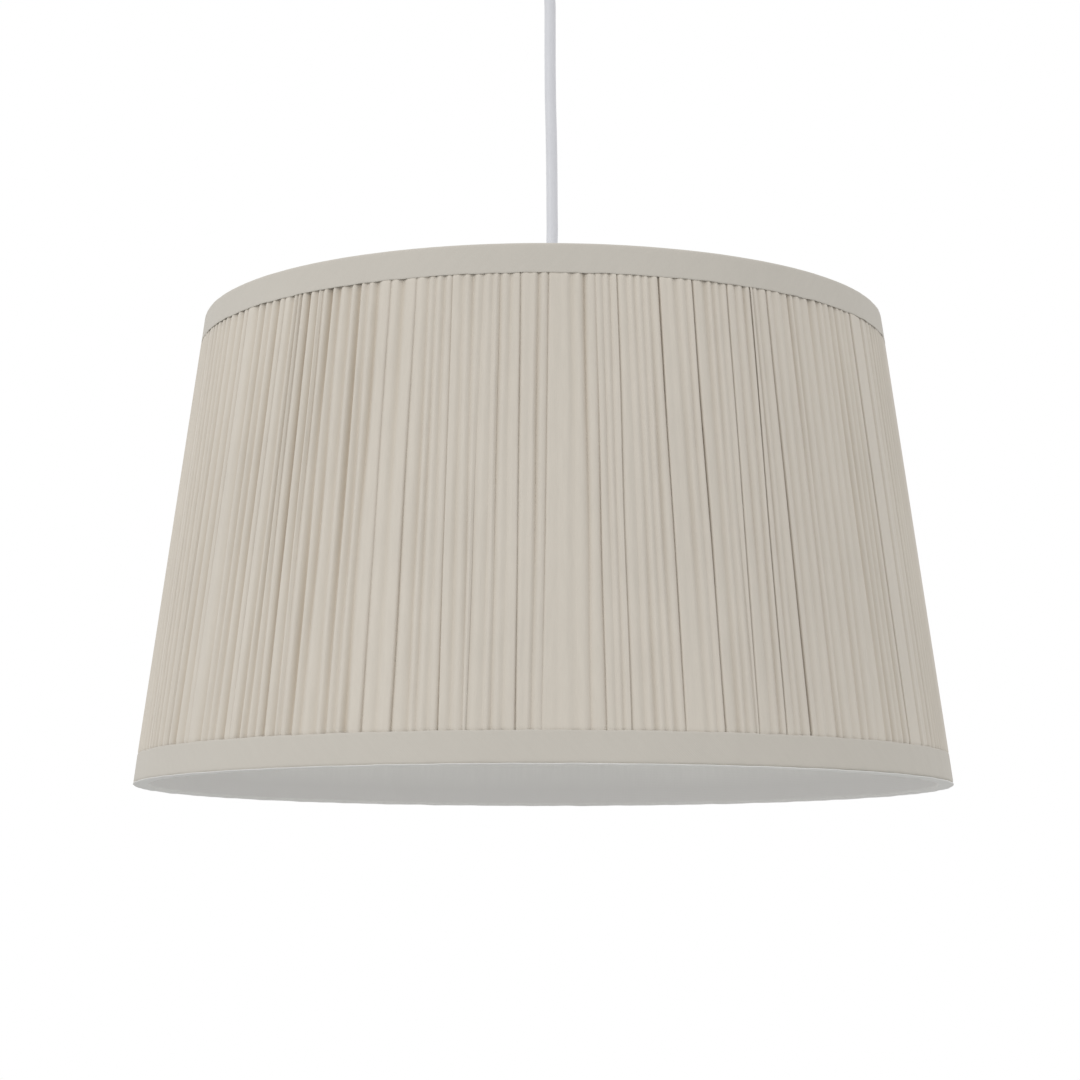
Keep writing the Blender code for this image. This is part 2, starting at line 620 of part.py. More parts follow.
def make_holder_wiring(carrier):
    """The end of the flex inside the cap, and its two cores down to the terminals."""
    top = TILT_PIVOT - FLEX_RADIUS * math.sin(HOLDER_TILT) - GAP
    bottom = top - 8 * MM
    wire("flex_tail", [Vector((0, 0, top)), Vector((0, 0, bottom))], FLEX_RADIUS, "flex_pvc", carrier)
    low = BLOCK_TOP + GAP + TERMINAL_SIZE.z + GAP
    for name, side, finish in (("live", -1, "core_brown"), ("neutral", 1, "core_blue")):
        points = [
            Vector((side * CORE_SPREAD, 0, bottom - GAP)),
            Vector((side * CORE_SPREAD, 0, bottom - 1.5 * MM)),
            Vector((side * TERMINAL_SPACING / 2, 0, low + 1.5 * MM)),
            Vector((side * TERMINAL_SPACING / 2, 0, low)),
        ]
        wire(f"core_{name}", smooth_route(points, 1.2 * MM), CORE_RADIUS, finish, carrier)


def make_lampholder(carrier, plunger_carriers):
    make_cap(carrier)
    make_barrel(carrier)
    make_contact_block(carrier)
    make_plungers(plunger_carriers)
    make_springs(carrier)
    make_holder_terminals(carrier)
    make_holder_wiring(carrier)


# --- flex and ceiling rose -------------------------------------------------------------------------------


def make_flex(carrier):
    route = [Vector((x * MM, 0, z * MM)) for x, z in FLEX_ROUTE]
    wire("flex", smooth_route(route, FLEX_POINT_SPACING), FLEX_RADIUS, "flex_pvc", carrier)


def make_rose_cover(carrier):
    """A cup with a domed end and a nose, whose flared mouth lets the flex swing."""
    inner = ROSE_RADIUS - ROSE_WALL
    throat, lip = mouth(SWING_PIVOT, FLEX_SWING, -1)
    floor = SWING_PIVOT + ROSE_WALL
    dome_radii = (ROSE_RADIUS - ROSE_NECK_RADIUS, ROSE_DOME_HEIGHT)
    dome = arc((ROSE_NECK_RADIUS, ROSE_SHOULDER), dome_radii, 0, -90, 5)
    hollow = arc((throat[0], ROSE_SHOULDER), (inner - throat[0], ROSE_SHOULDER - floor), -90, 0, 4)
    nose = (ROSE_NECK_RADIUS - 1 * MM, ROSE_MOUTH)
    rim = [(ROSE_RADIUS, -ROSE_RIM_DROP), (inner, -ROSE_RIM_DROP)]
    turned("rose_cover", [*hollow[::-1], throat, lip, nose, *dome[::-1], *rim], "white_moulding", carrier)


def make_rose_base(carrier):
    radius = ROSE_RADIUS - ROSE_WALL - GAP
    low = -ROSE_BASE_THICKNESS
    base = turned("rose_base", [(0, low), (radius, low), (radius, 0), (0, 0)], "white_moulding", carrier)
    for index, side in enumerate((-1, 1)):
        at = (side * ROSE_FIXING_SPACING / 2, 0)
        name = f"fixing_hole_{index + 1}"
        cut(base, round_cutter(name, ROSE_FIXING_RADIUS, low - 1 * MM, 1 * MM, carrier, at))


def make_rose_terminals(carrier):
    """A moulded block under the base with a brass terminal and its screw for each core."""
    block_top = -ROSE_BASE_THICKNESS - GAP
    block_middle = (0, ROSE_BLOCK_OFFSET, block_top - ROSE_BLOCK_SIZE.z / 2)
    block("rose_terminal_block", ROSE_BLOCK_SIZE, block_middle, "white_moulding", carrier, ROSE_BLOCK_EDGE)
    middle = block_top - ROSE_BLOCK_SIZE.z - GAP - TERMINAL_SIZE.z / 2
    length = 0.7 * TERMINAL_SIZE.z
    for name, side in (("live", -1), ("neutral", 1)):
        x = side * ROSE_TERMINAL_SPACING / 2
        place = (x, ROSE_BLOCK_OFFSET, middle)
        terminal = block(f"rose_terminal_{name}", TERMINAL_SIZE, place, "brass", carrier, TERMINAL_EDGE)
        bottom = middle - TERMINAL_SIZE.z / 2
        bore_top = bottom + length + GAP
        at = (x, ROSE_BLOCK_OFFSET)
        bore_name = f"rose_bore_{name}"
        cut(terminal, round_cutter(bore_name, SCREW_RADIUS + GAP, bottom - 1 * MM, bore_top, carrier, at))
        screw(f"rose_screw_{name}", (x, ROSE_BLOCK_OFFSET, bottom - GAP), (0, 0, 0), length, carrier)


def make_rose_wiring(carrier):
    """The flex's upper end inside the rose, and its two cores across to the terminals."""
    low = SWING_PIVOT + FLEX_RADIUS * math.sin(FLEX_SWING) + GAP
    top = low + 9 * MM
    wire("flex_head", [Vector((0, 0, low)), Vector((0, 0, top))], FLEX_RADIUS, "flex_pvc", carrier)
    level = -ROSE_BASE_THICKNESS - 2 * GAP - ROSE_BLOCK_SIZE.z - TERMINAL_SIZE.z / 2
    front = ROSE_BLOCK_OFFSET - TERMINAL_SIZE.y / 2 - GAP
    for name, side, finish in (("live", -1, "core_brown"), ("neutral", 1, "core_blue")):
        x = side * ROSE_TERMINAL_SPACING / 2
        points = [
            Vector((side * CORE_SPREAD, 0, top + GAP)),
            Vector((side * CORE_SPREAD, 0, top + 2 * MM)),
            Vector((side * 3.5 * MM, 1.5 * MM, level - 0.5 * MM)),
            Vector((x, front - 3 * MM, level)),
            Vector((x, front, level)),
        ]
        wire(f"rose_core_{name}", smooth_route(points, 1.5 * MM), CORE_RADIUS, finish, carrier)


def make_rose(carrier):
    make_rose_base(carrier)
    make_rose_terminals(carrier)
    make_rose_wiring(carrier)


def main():
    clear_scene()
    make_rose(body("ceiling_rose"))
    make_rose_cover(body("cover"))
    make_flex(body("hanging_flex", SWING_PIVOT))
    make_lampholder(body("holder", TILT_PIVOT), [body("contact_1"), body("contact_2")])
    make_reducer(body("reducer", FITTER_Z))
    make_shade_ring(body("clamp_ring", FITTER_Z))
    make_shade(body("shade", FITTER_Z))


main()
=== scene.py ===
"""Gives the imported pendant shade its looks: gathered cotton over a wire frame, plain cotton bands, a white
lining, a PVC flex, moulded fittings, brass and spring steel. Metres, +Z up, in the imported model's frame."""

import math

import bmesh
import bpy
import numpy as np
from bpy.props import FloatProperty, FloatVectorProperty, IntProperty, PointerProperty
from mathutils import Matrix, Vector


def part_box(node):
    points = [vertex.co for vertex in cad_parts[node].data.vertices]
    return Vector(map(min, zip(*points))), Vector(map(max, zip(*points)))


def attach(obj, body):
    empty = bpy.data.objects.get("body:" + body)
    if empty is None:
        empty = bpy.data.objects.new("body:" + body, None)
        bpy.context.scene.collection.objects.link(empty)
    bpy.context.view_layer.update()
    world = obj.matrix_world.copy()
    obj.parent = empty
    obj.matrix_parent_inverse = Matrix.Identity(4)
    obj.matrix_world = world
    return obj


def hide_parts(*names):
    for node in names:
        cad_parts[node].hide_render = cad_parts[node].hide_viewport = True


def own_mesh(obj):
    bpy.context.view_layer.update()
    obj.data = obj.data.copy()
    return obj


bl_info = {
    "name": "Gathered Pendant Shade",
    "version": (1, 0, 0),
    "blender": (4, 5, 0),
    "location": "View3D > Sidebar > Shade",
    "description": "Makes the cloth, flex, fittings, finishes and studio of a gathered pendant shade",
    "category": "Add Mesh",
}

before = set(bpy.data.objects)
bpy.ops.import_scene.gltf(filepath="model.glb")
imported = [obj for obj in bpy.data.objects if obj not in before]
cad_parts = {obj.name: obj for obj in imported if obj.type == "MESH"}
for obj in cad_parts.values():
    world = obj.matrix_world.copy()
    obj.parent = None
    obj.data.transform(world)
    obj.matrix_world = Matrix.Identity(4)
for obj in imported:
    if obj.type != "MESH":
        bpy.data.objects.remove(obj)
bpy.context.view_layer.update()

MM = 0.001
TAU = math.tau


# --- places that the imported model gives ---


def low(node):
    """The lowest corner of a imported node's box."""
    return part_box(node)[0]


def high(node):
    """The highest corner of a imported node's box."""
    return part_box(node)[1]


def span(node):
    """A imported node's lowest and highest heights, and how far out its box goes."""
    return low(node).z, high(node).z, high(node).x


GAP = 0.3 * MM  # kept between pieces that touch on the real object
RING_WIRE = 1.4 * MM  # radius of the wire of the two rings and the arms
STRUT_WIRE = 1.1 * MM  # and of the struts'
TOP_RING_Z = (low("top_ring").z + high("top_ring").z) / 2
BOTTOM_RING_Z = (low("bottom_ring").z + high("bottom_ring").z) / 2
TOP_RING_RADIUS = high("top_ring").x - RING_WIRE
BOTTOM_RING_RADIUS = high("bottom_ring").x - RING_WIRE
TAPER = (BOTTOM_RING_RADIUS - TOP_RING_RADIUS) / (TOP_RING_Z - BOTTOM_RING_Z)
SHADE_TOP = high("top_band").z
SHADE_BOTTOM = low("bottom_band").z
TOP_BAND_EDGE = low("top_band").z
BOTTOM_BAND_EDGE = high("bottom_band").z
ARM_ANGLES = np.radians([90, 210, 330])
STRUT_ANGLES = np.radians([0, 60, 120, 180, 240, 300])

# Distances out from the cone through the two rings' centres, outwards positive
BAND_OUTSIDE = 4.2 * MM
BAND_CLOTH = 0.4 * MM
RIDGE_OFFSET = 4.3 * MM  # the cover's ridges, which stand level with the bands
TUCKED_OFFSET = 3.86 * MM  # and its ridges where they are pressed flat under a band
VALLEY_LIMIT = 1.3 * MM  # the deepest that a fold may lie
BAND_INSIDE = -2.3 * MM
LINING_OFFSET = -2.6 * MM
LINING_CLOTH = 0.5 * MM


def wall_radius(offset, height):
    """Radius of the cone that lies offset outside the rings' centres, at a height."""
    return BOTTOM_RING_RADIUS + offset - TAPER * (height - BOTTOM_RING_Z)


# --- meshes ---


def linear(code):
    """An sRGB hex colour such as "d8d2c6" as linear red, green and blue."""
    srgb = np.array([int(code[place:place + 2], 16) for place in (0, 2, 4)]) / 255
    return tuple(np.where(srgb <= 0.04045, srgb / 12.92, ((srgb + 0.055) / 1.055) ** 2.4).tolist())


def smoothstep(low_end, high_end, values):
    """0 below low_end, 1 above high_end, and a smooth S between them."""
    share = np.clip((values - low_end) / (high_end - low_end), 0, 1)
    return share * share * (3 - 2 * share)


def grid_piece(name, points, wrap_rows=False, wrap_columns=False, poles=False, uv=None, values=None):
    """A mesh object over a grid of points[row, column]. A wrapped direction joins its last line to its first.
    uv is (distances along the columns, distances along the rows), each with one more value where it wraps.
    values are named numbers kept at each point. A closed shape with a negative volume is turned the right
    way out, and poles=True merges the points that a row on the axis has in common."""
    rows, columns = points.shape[:2]
    row, column = np.meshgrid(
        np.arange(rows if wrap_rows else rows - 1),
        np.arange(columns if wrap_columns else columns - 1),
        indexing="ij",
    )
    row = np.stack([row, row, row + 1, row + 1], -1).reshape(-1, 4)
    column = np.stack([column, column + 1, column + 1, column], -1).reshape(-1, 4)
    faces = (row % rows) * columns + column % columns
    flat = points.reshape(-1, 3)
    if wrap_rows or poles:
        corner = flat[faces]
        diagonals = np.cross(corner[:, 2] - corner[:, 0], corner[:, 3] - corner[:, 1])
        if (diagonals * corner.mean(1)).sum() < 0:
            faces, row, column = faces[:, ::-1], row[:, ::-1], column[:, ::-1]
    mesh = bpy.data.meshes.new(name)
    mesh.from_pydata(flat, [], faces.tolist())
    if uv is not None:
        layer = mesh.uv_layers.new(name="cloth")
        pairs = np.stack([uv[0][column], uv[1][row]], -1)
        layer.uv.foreach_set("vector", pairs.astype(np.float32).ravel())
    for key, numbers in (values or {}).items():
        attribute = mesh.attributes.new(key, "FLOAT", "POINT")
        attribute.data.foreach_set("value", numbers.astype(np.float32).ravel())
    if poles:
        shape = bmesh.new()
        shape.from_mesh(mesh)
        bmesh.ops.remove_doubles(shape, verts=shape.verts, dist=0.002 * MM)
        shape.to_mesh(mesh)
        shape.free()
    mesh.shade_smooth()
    piece = bpy.data.objects.new(name, mesh)
    bpy.context.scene.collection.objects.link(piece)
    return piece


def full_turn(count):
    """This many angles, evenly spread once round."""
    return np.linspace(0, TAU, count, endpoint=False)


def around(radius, angle, height):
    """Points at a radius and an angle round the vertical axis, at a height."""
    radius, angle, height = np.broadcast_arrays(radius, angle, height)
    return np.stack([radius * np.cos(angle), radius * np.sin(angle), height], -1)


def fillet_arc(before, corner, after, radius, steps):
    """Points on the arc that rounds a corner. It touches both sides, and takes up less than half of each."""
    back, ahead = before - corner, after - corner
    back_length, ahead_length = np.linalg.norm(back), np.linalg.norm(ahead)
    back, ahead = back / back_length, ahead / ahead_length
    half = math.acos(np.clip(back @ ahead, -1, 1)) / 2
    reach = min(radius / math.tan(half), 0.48 * back_length, 0.48 * ahead_length)
    middle = corner + (back + ahead) / np.linalg.norm(back + ahead) * reach / math.cos(half)
    start, end = corner + back * reach - middle, corner + ahead * reach - middle
    share = np.linspace(0, 1, steps + 1)[:, None]
    turn = math.pi - 2 * half
    return middle + (start * np.sin((1 - share) * turn) + end * np.sin(share * turn)) / math.sin(turn)


def rounded(corners):
    """A closed outline of (radius, height) points. Each corner is (radius, height, fillet in millimetres),
    and a fillet of 0 keeps it sharp."""
    places = np.array([corner[:2] for corner in corners], float)
    threes = zip(np.roll(places, 1, axis=0), places, np.roll(places, -1, axis=0))
    return np.concatenate([
        fillet_arc(*three, corner[2] * MM, 5) if corner[2] else three[1][None]
        for three, corner in zip(threes, corners)
    ])


def sharp(points):
    """Corners for rounded() that pass through these points with no fillet."""
    return [(*point, 0) for point in points]


def ellipse_quarter(centre, size, count, first, last):
    """Points inside a quarter of an ellipse, from the angle first to last in degrees, without its ends:
    centre plus size times cosine and sine."""
    turn = np.radians(np.linspace(first, last, count))[1:-1]
    return np.stack([centre[0] + size[0] * np.cos(turn), centre[1] + size[1] * np.sin(turn)], -1)


def finer(outline, spacing):
    """The same closed outline with more points, none further apart than about spacing along it."""
    outline = np.vstack([outline, outline[:1]])
    travelled = np.concatenate([[0], np.cumsum(np.linalg.norm(np.diff(outline, axis=0), axis=1))])
    even = np.linspace(0, travelled[-1], int(travelled[-1] / spacing) + 2)
    places = np.unique(np.concatenate([travelled, even]).round(7))[:-1]
    return np.stack([np.interp(places, travelled, outline[:, axis]) for axis in (0, 1)], -1)


def turned(name, outline, columns=96, closed=True, ripple=None, at=(0, 0), angles=None):
    """An outline of (radius, height) points turned once round the upright line through at. ripple(radius,
    angle, height) gives how much further out each point lies, which makes flutes, ribs, threads and slots."""
    angle = full_turn(columns)[None] if angles is None else angles[None]
    radius, height = outline[:, :1], outline[:, 1:]
    if ripple is not None:
        radius = radius + ripple(radius, angle, height)
    points = around(radius, angle, height) + np.array([*at, 0])
    return grid_piece(name, points, wrap_rows=closed, wrap_columns=True, poles=not closed)


def tube(name, path, radius, upright, sides=16, ends=True):
    """A round wire along a path. At each point a circle stands square to the path, its sides set out from
    the cross product of the path's direction and upright. ends=True closes both ends with domes, and
    otherwise the path is a loop."""
    if ends:
        before, after = path[0] - path[1], path[-1] - path[-2]
        dome = np.array([1.0, 0.92, 0.7, 0.38])
        first = path[0] + before / np.linalg.norm(before) * radius * dome[:, None] * 0.5
        last = path[-1] + after / np.linalg.norm(after) * radius * dome[::-1, None] * 0.5
        width = np.sqrt(np.clip(1 - dome**2, 0, 1))
        path = np.vstack([first, path, last])
        thickness = np.concatenate([width, np.ones(len(path) - 8), width[::-1]]) * radius
        direction = np.gradient(path, axis=0)
    else:
        thickness = np.full(len(path), radius)
        direction = np.roll(path, -1, axis=0) - np.roll(path, 1, axis=0)
    direction /= np.linalg.norm(direction, axis=1)[:, None]
    side = np.cross(direction, np.array(upright, float))
    side /= np.linalg.norm(side, axis=1)[:, None]
    over = np.cross(side, direction)
    turn = full_turn(sides)
    circle = side[:, None] * np.cos(turn)[None, :, None] + over[:, None] * np.sin(turn)[None, :, None]
    points = path[:, None] + circle * thickness[:, None, None]
    return grid_piece(name, points, wrap_rows=not ends, wrap_columns=True, poles=ends)


def bent_path(corners, bend_radius):
    """Straight runs between corners, with an arc of bend_radius at each inner corner."""
    arcs = [fillet_arc(*three, bend_radius, 8) for three in zip(corners, corners[1:], corners[2:])]
    return np.vstack([corners[:1], *arcs, corners[-1:]])


def smooth_route(points, steps):
    """Points on one smooth curve (Catmull-Rom) through the given points, steps of them to each stretch."""
    points = np.array(points, float)
    ends = np.vstack([2 * points[0] - points[1], points, 2 * points[-1] - points[-2]])
    before, start, end, after = (ends[shift:len(ends) - 3 + shift, None] for shift in range(4))
    t = (np.arange(steps) / steps)[None, :, None]
    curve = 0.5 * (
        2 * start
        + (end - before) * t
        + (2 * before - 5 * start + 4 * end - after) * t**2
        + (3 * start - before - 3 * end + after) * t**3
    )
    return np.vstack([curve.reshape(-1, points.shape[1]), points[-1:]])


def slow_noise(random, waves, angle):
    """A smooth random curve round the shade, about 1 high: a sum of cosines with whole numbers of waves."""
    waves = np.array(waves)[:, None]
    weight = random.normal(0, 1, waves.shape)
    phase = random.uniform(0, TAU, waves.shape)
    curve = (weight * np.cos(waves * angle + phase)).sum(0)
    return curve / np.sqrt((weight**2).sum() / 2)


def place(piece, material, body, slot, *nodes):
    """Gives a finished piece its material and the body it moves with, and hides the nodes it stands for. Its
    slot is not used.
    """
    piece.data.materials.append(material)
    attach(piece, body)
    if nodes:
        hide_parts(*nodes)
    return piece


# --- materials ---


def connect(tree, node, inputs):
    """Sets each of the node's inputs to its value, or links it to the socket given for it."""
    for name, value in inputs.items():
        if isinstance(value, bpy.types.NodeSocket):
            tree.links.new(value, node.inputs[name])
        else:
            node.inputs[name].default_value = value


def add(tree, kind, output, inputs, **settings):
    """Adds one shader node with its settings and inputs, and gives the output socket that is asked for."""
    node = tree.nodes.new("ShaderNode" + kind)
    for name, value in settings.items():
        setattr(node, name, value)
    connect(tree, node, inputs)
    return node.outputs[output]


def new_material(name):
    """A new material, its node tree, its Principled shader, and the socket of its Object coordinates."""
    material = bpy.data.materials.new(name)
    material.use_nodes = True
    tree = material.node_tree
    return material, tree, tree.nodes["Principled BSDF"], add(tree, "TexCoord", "Object", {})


MIXED = 2  # the place of a Mix node's colour among its outputs: 0 is its factor input, 6 and 7 its colours


def times(colour, share):
    """The colour, opaque, with each channel multiplied by a share, or by its own of three shares."""
    return (*np.minimum(np.array(colour) * share, 1).tolist(), 1)


def cotton(name, colour, thread, crumple, crumple_stretch, clouding, slant=0.0, painted_shade=None, sheen=0.1):
    """Plain-woven cotton. Warp and weft are two sets of waves, thread apart, on the cloth's own map, and
    slubs are noise drawn out along the threads. It is matt, with a faint sheen of fibre ends. The shading
    argument gives the name of a number kept at each point, and what the colour is multiplied by where that
    number is 1: painted shade, for places that would get less light. Threads are really about 0.35 mm
    apart, and are drawn coarser so that they show."""
    material, tree, shader, spot = new_material(name)
    cloth_map = add(tree, "UVMap", "UV", {}, uv_map="cloth")
    threads = add(tree, "Mapping", "Vector", {"Vector": cloth_map, "Rotation": (0, 0, slant)})
    wave = {
        "Vector": threads, "Scale": TAU / (20 * thread),
        "Distortion": 0.6, "Detail": 1.0, "Detail Scale": 1.5,
    }
    warp = add(tree, "TexWave", "Fac", wave, bands_direction="X")
    weft = add(tree, "TexWave", "Fac", wave, bands_direction="Y")
    woven = add(tree, "Math", "Value", {0: warp, 1: weft}, operation="MULTIPLY")
    drawn_out = add(tree, "Mapping", "Vector", {"Vector": threads, "Scale": (1, 0.12, 1)})
    slub = add(
        tree, "TexNoise", "Fac",
        {"Vector": drawn_out, "Scale": 0.4 / thread, "Detail": 2.0, "Roughness": 0.55},
    )
    hang = add(tree, "Mapping", "Vector", {"Vector": spot, "Scale": (1, 1, crumple_stretch)})
    crumples = add(
        tree, "TexNoise", "Fac", {"Vector": hang, "Scale": 1 / crumple, "Detail": 3.0, "Roughness": 0.5}
    )
    broad = add(tree, "TexNoise", "Fac", {"Vector": spot, "Scale": 14.0, "Detail": 2.0})
    tone = add(tree, "Math", "Value", {0: slub, 1: broad}, operation="ADD")
    tone = add(tree, "MapRange", "Result", {"Value": tone, "From Min": 0.7, "From Max": 1.3})
    light, dark = times(colour, 1 + clouding), times(colour, 1 - clouding)
    base = add(tree, "Mix", MIXED, {0: tone, 6: light, 7: dark}, data_type="RGBA")
    # Painted shade: the colour is darkened wherever the named number is 1
    if painted_shade:
        shade_amount = add(tree, "Attribute", "Fac", {}, attribute_name=painted_shade[0])
        shaded_colour = times(colour, painted_shade[1])
        base = add(tree, "Mix", MIXED, {0: shade_amount, 6: base, 7: shaded_colour}, data_type="RGBA")
    fine = add(tree, "Bump", "Normal", {"Height": woven, "Strength": 0.5, "Distance": 0.06 * thread})
    coarse = add(
        tree, "Bump", "Normal", {"Height": crumples, "Strength": 0.6, "Distance": 0.6 * MM, "Normal": fine}
    )
    connect(tree, shader, {
        "Base Color": base, "Normal": coarse, "Roughness": 0.92, "Specular IOR Level": 0.3,
        "Sheen Weight": sheen, "Sheen Roughness": 0.6,
    })
    return material


def cloudy_skin(tree, shader, cloud, light, dark, smooth, rough, bump):
    """Where the cloud is thick the surface is dark and rough, where it is thin light and smooth, and bump is
    its relief."""
    spread = {"Value": cloud, "From Min": 0.3, "From Max": 0.7, "To Min": smooth, "To Max": rough}
    connect(tree, shader, {
        "Base Color": add(tree, "Mix", MIXED, {0: cloud, 6: light, 7: dark}, data_type="RGBA"),
        "Roughness": add(tree, "MapRange", "Result", spread),
        "Normal": add(tree, "Bump", "Normal", bump),
    })


def moulding(name, colour, roughness, wave, depth, coat=0.0):
    """A glossy moulded or sprayed surface: one even colour with a slight clouding, roughness that wanders a
    little, and the shallow orange peel of such a skin, wave across and depth deep."""
    material, tree, shader, spot = new_material(name)
    peel = add(tree, "TexNoise", "Fac", {"Vector": spot, "Scale": 1 / wave, "Detail": 2.0})
    cloud = add(tree, "TexNoise", "Fac", {"Vector": spot, "Scale": 60.0, "Detail": 3.0})
    bump = {"Height": peel, "Strength": 0.35, "Distance": depth}
    light, dark = times(colour, 1), times(colour, 0.97)
    cloudy_skin(tree, shader, cloud, light, dark, 0.85 * roughness, 1.2 * roughness, bump)
    connect(tree, shader, {"IOR": 1.5, "Coat Weight": coat, "Coat Roughness": 0.12})
    return material


def turned_metal(name, colour, tarnish, roughness, line):
    """Bare metal turned on a lathe or drawn through a die: fine rings, line apart, and a cloudy tarnish that
    is duller where it is darker."""
    material, tree, shader, spot = new_material(name)
    rings = add(tree, "Mapping", "Vector", {"Vector": spot, "Scale": (0.05, 0.05, 1)})
    lines = add(tree, "TexNoise", "Fac", {"Vector": rings, "Scale": 1 / line, "Detail": 2.0})
    cloud = add(tree, "TexNoise", "Fac", {"Vector": spot, "Scale": 350.0, "Detail": 4.0})
    bump = {"Height": lines, "Strength": 0.4, "Distance": 0.03 * MM}
    light, dark = times(colour, 1), times(tarnish, 1)
    cloudy_skin(tree, shader, cloud, light, dark, roughness, 1.6 * roughness, bump)
    connect(tree, shader, {"Metallic": 1.0})
    return material


# What makes each finish, from the settings. The comments say what it is and what that gives the eye.
FINISHES = {
    # Light, closely woven and gathered by hand: matt cream, with soft unpressed folds,
    # and painted shade that darkens and warms the deep folds
    "gathered poly-cotton voile": lambda name, looks: cotton(
        name, looks.cover_colour, 0.8 * MM, 9 * MM, 0.14, 0.03, painted_shade=("painted_fold_shade", (0.85, 0.80, 0.73))
    ),
    # The same cloth cut across the grain, so its threads slant, and stretched flat round the rings
    "bias-cut cotton binding": lambda name, looks: cotton(
        name, looks.band_colour, 0.8 * MM, 22 * MM, 0.8, 0.015, slant=TAU / 8
    ),
    # Thin bleached cotton with slack ripples, with painted shade where a band lies behind it,
    # since less light would come through there
    "bleached cotton lining": lambda name, looks: cotton(
        name, looks.lining_colour, 0.9 * MM, 26 * MM, 0.5, 0.03, painted_shade=("painted_band_shade", (0.9, 0.895, 0.9)),
        sheen=0.05,
    ),
    # Plasticised PVC straight off the die: cool white with a soft gloss
    "extruded white PVC": lambda name, looks: moulding(name, looks.flex_colour, 0.38, 1.6 * MM, 0.05 * MM),
    # Hard white thermoset with the gloss of a polished mould
    "moulded urea resin": lambda name, looks: moulding(
        name, looks.fitting_colour, 0.26, 1.1 * MM, 0.015 * MM
    ),
    # Sprayed and baked on steel wire: thick and glossy, with a faint orange peel
    "white stove enamel": lambda name, looks: moulding(
        name, looks.wire_colour, 0.32, 1.2 * MM, 0.02 * MM, coat=0.3
    ),
    # The thin, softly glossy insulation of the two cores
    "brown core PVC": lambda name, looks: moulding(name, linear("5a3420"), 0.4, 0.9 * MM, 0.03 * MM),
    "blue core PVC": lambda name, looks: moulding(name, linear("2a5fa8"), 0.4, 0.9 * MM, 0.03 * MM),
    # Free-cutting brass bar off the lathe, a little tarnished
    "turned brass": lambda name, looks: turned_metal(
        name, linear("e2bf74"), linear("a8844a"), 0.24, 0.15 * MM
    ),
    # Bright-drawn wire with the die's fine lines along it
    "drawn spring steel": lambda name, looks: turned_metal(
        name, linear("c2c4c8"), linear("8c8e92"), 0.28, 0.1 * MM
    ),
}


def finish(name):
    """The material of this name, made the first time it is asked for."""
    return bpy.data.materials.get(name) or FINISHES[name](name, bpy.context.scene.pendant_shade)


# --- settings ---


def length_setting(name, description, default):
    return FloatProperty(name=name, description=description, default=default, unit="LENGTH", precision=5)


def colour_setting(name, description, code):
    return FloatVectorProperty(name=name, description=description, default=linear(code), subtype="COLOR")


class PendantShadeSettings(bpy.types.PropertyGroup):
    """The sizes and colours of the shade that a user would change."""

    fold_count: IntProperty(
        name="Folds", description="Gathers round the whole shade", default=235, min=40, max=250
    )
    fold_seed: IntProperty(name="Fold seed", description="Chooses another set of irregular folds", default=11)
    soft_depth: length_setting("Soft fold depth", "How deep the ordinary rounded folds are", 1.3 * MM)
    knife_depth: length_setting("Knife fold depth", "How deep the folds are that lap over", 2.1 * MM)
    knife_overlap: length_setting("Knife fold overlap", "How far a knife fold lies over the next", 0.3 * MM)
    flex_diameter: length_setting(
        "Flex diameter", "Diameter of the cable over its sheath", high("flex_tail").x - low("flex_tail").x
    )
    thread_pitch: length_setting("Thread pitch", "Rise of the lampholder's thread in one turn", 2 * MM)
    cover_colour: colour_setting("Cover colour", "Cream of the gathered cloth", "ccc5ba")
    band_colour: colour_setting("Band colour", "Cream of the plain bands", "c2bdb4")
    lining_colour: colour_setting("Lining colour", "White of the lining", "e7e6e3")
    flex_colour: colour_setting("Flex colour", "Cool white of the flex", "d5d6db")
    fitting_colour: colour_setting("Fitting colour", "White of the rose and the lampholder", "ecebe6")
    wire_colour: colour_setting("Wire colour", "White enamel of the wire frame", "e4e3de")


class PendantStudioSettings(bpy.types.PropertyGroup):
    """The studio round the shade."""

    floor_drop: length_setting("Floor drop", "How far the floor lies below the shade's lower edge", 1.7)
    floor_radius: length_setting("Floor radius", "Radius of the round floor", 10.0)
    floor_colour: colour_setting("Floor colour", "Pale grey of the floor", "c3c3c2")
    key_power: FloatProperty(
        name="Key power", description="Power of the large soft light on the left", default=12.5, unit="POWER"
    )
    camera_distance: length_setting("Camera distance", "From the shade's axis to the lens", 1.3075)
    camera_height: length_setting(
        "Camera height", "Height of the lens in the model's frame", SHADE_BOTTOM - 0.065
    )
    camera_pitch: FloatProperty(
        name="Camera pitch", description="How far the camera looks up", default=math.radians(8.19),
        subtype="ANGLE",
    )
    camera_yaw: FloatProperty(
        name="Camera yaw", description="How far the camera looks to the left", default=math.radians(0.07),
        subtype="ANGLE",
    )
    lens: FloatProperty(name="Lens", description="Focal length in millimetres", default=87.95)


# --- flex ---

# (sideways, height) in millimetres down the flex, which keeps a slight wave from being coiled in its packet
FLEX_ROUTE = [
    (0.0, -33.0), (0.1, -42.0), (1.0, -51.0), (2.4, -59.0), (3.5, -68.0), (3.6, -80.0),
    (3.6, -100.0), (3.75, -120.0), (4.2, -140.0), (4.45, -160.0), (4.55, -178.0),
    (4.6, -192.0), (3.9, -204.0), (2.2, -215.0), (0.7, -225.0), (0.0, -235.0),
]


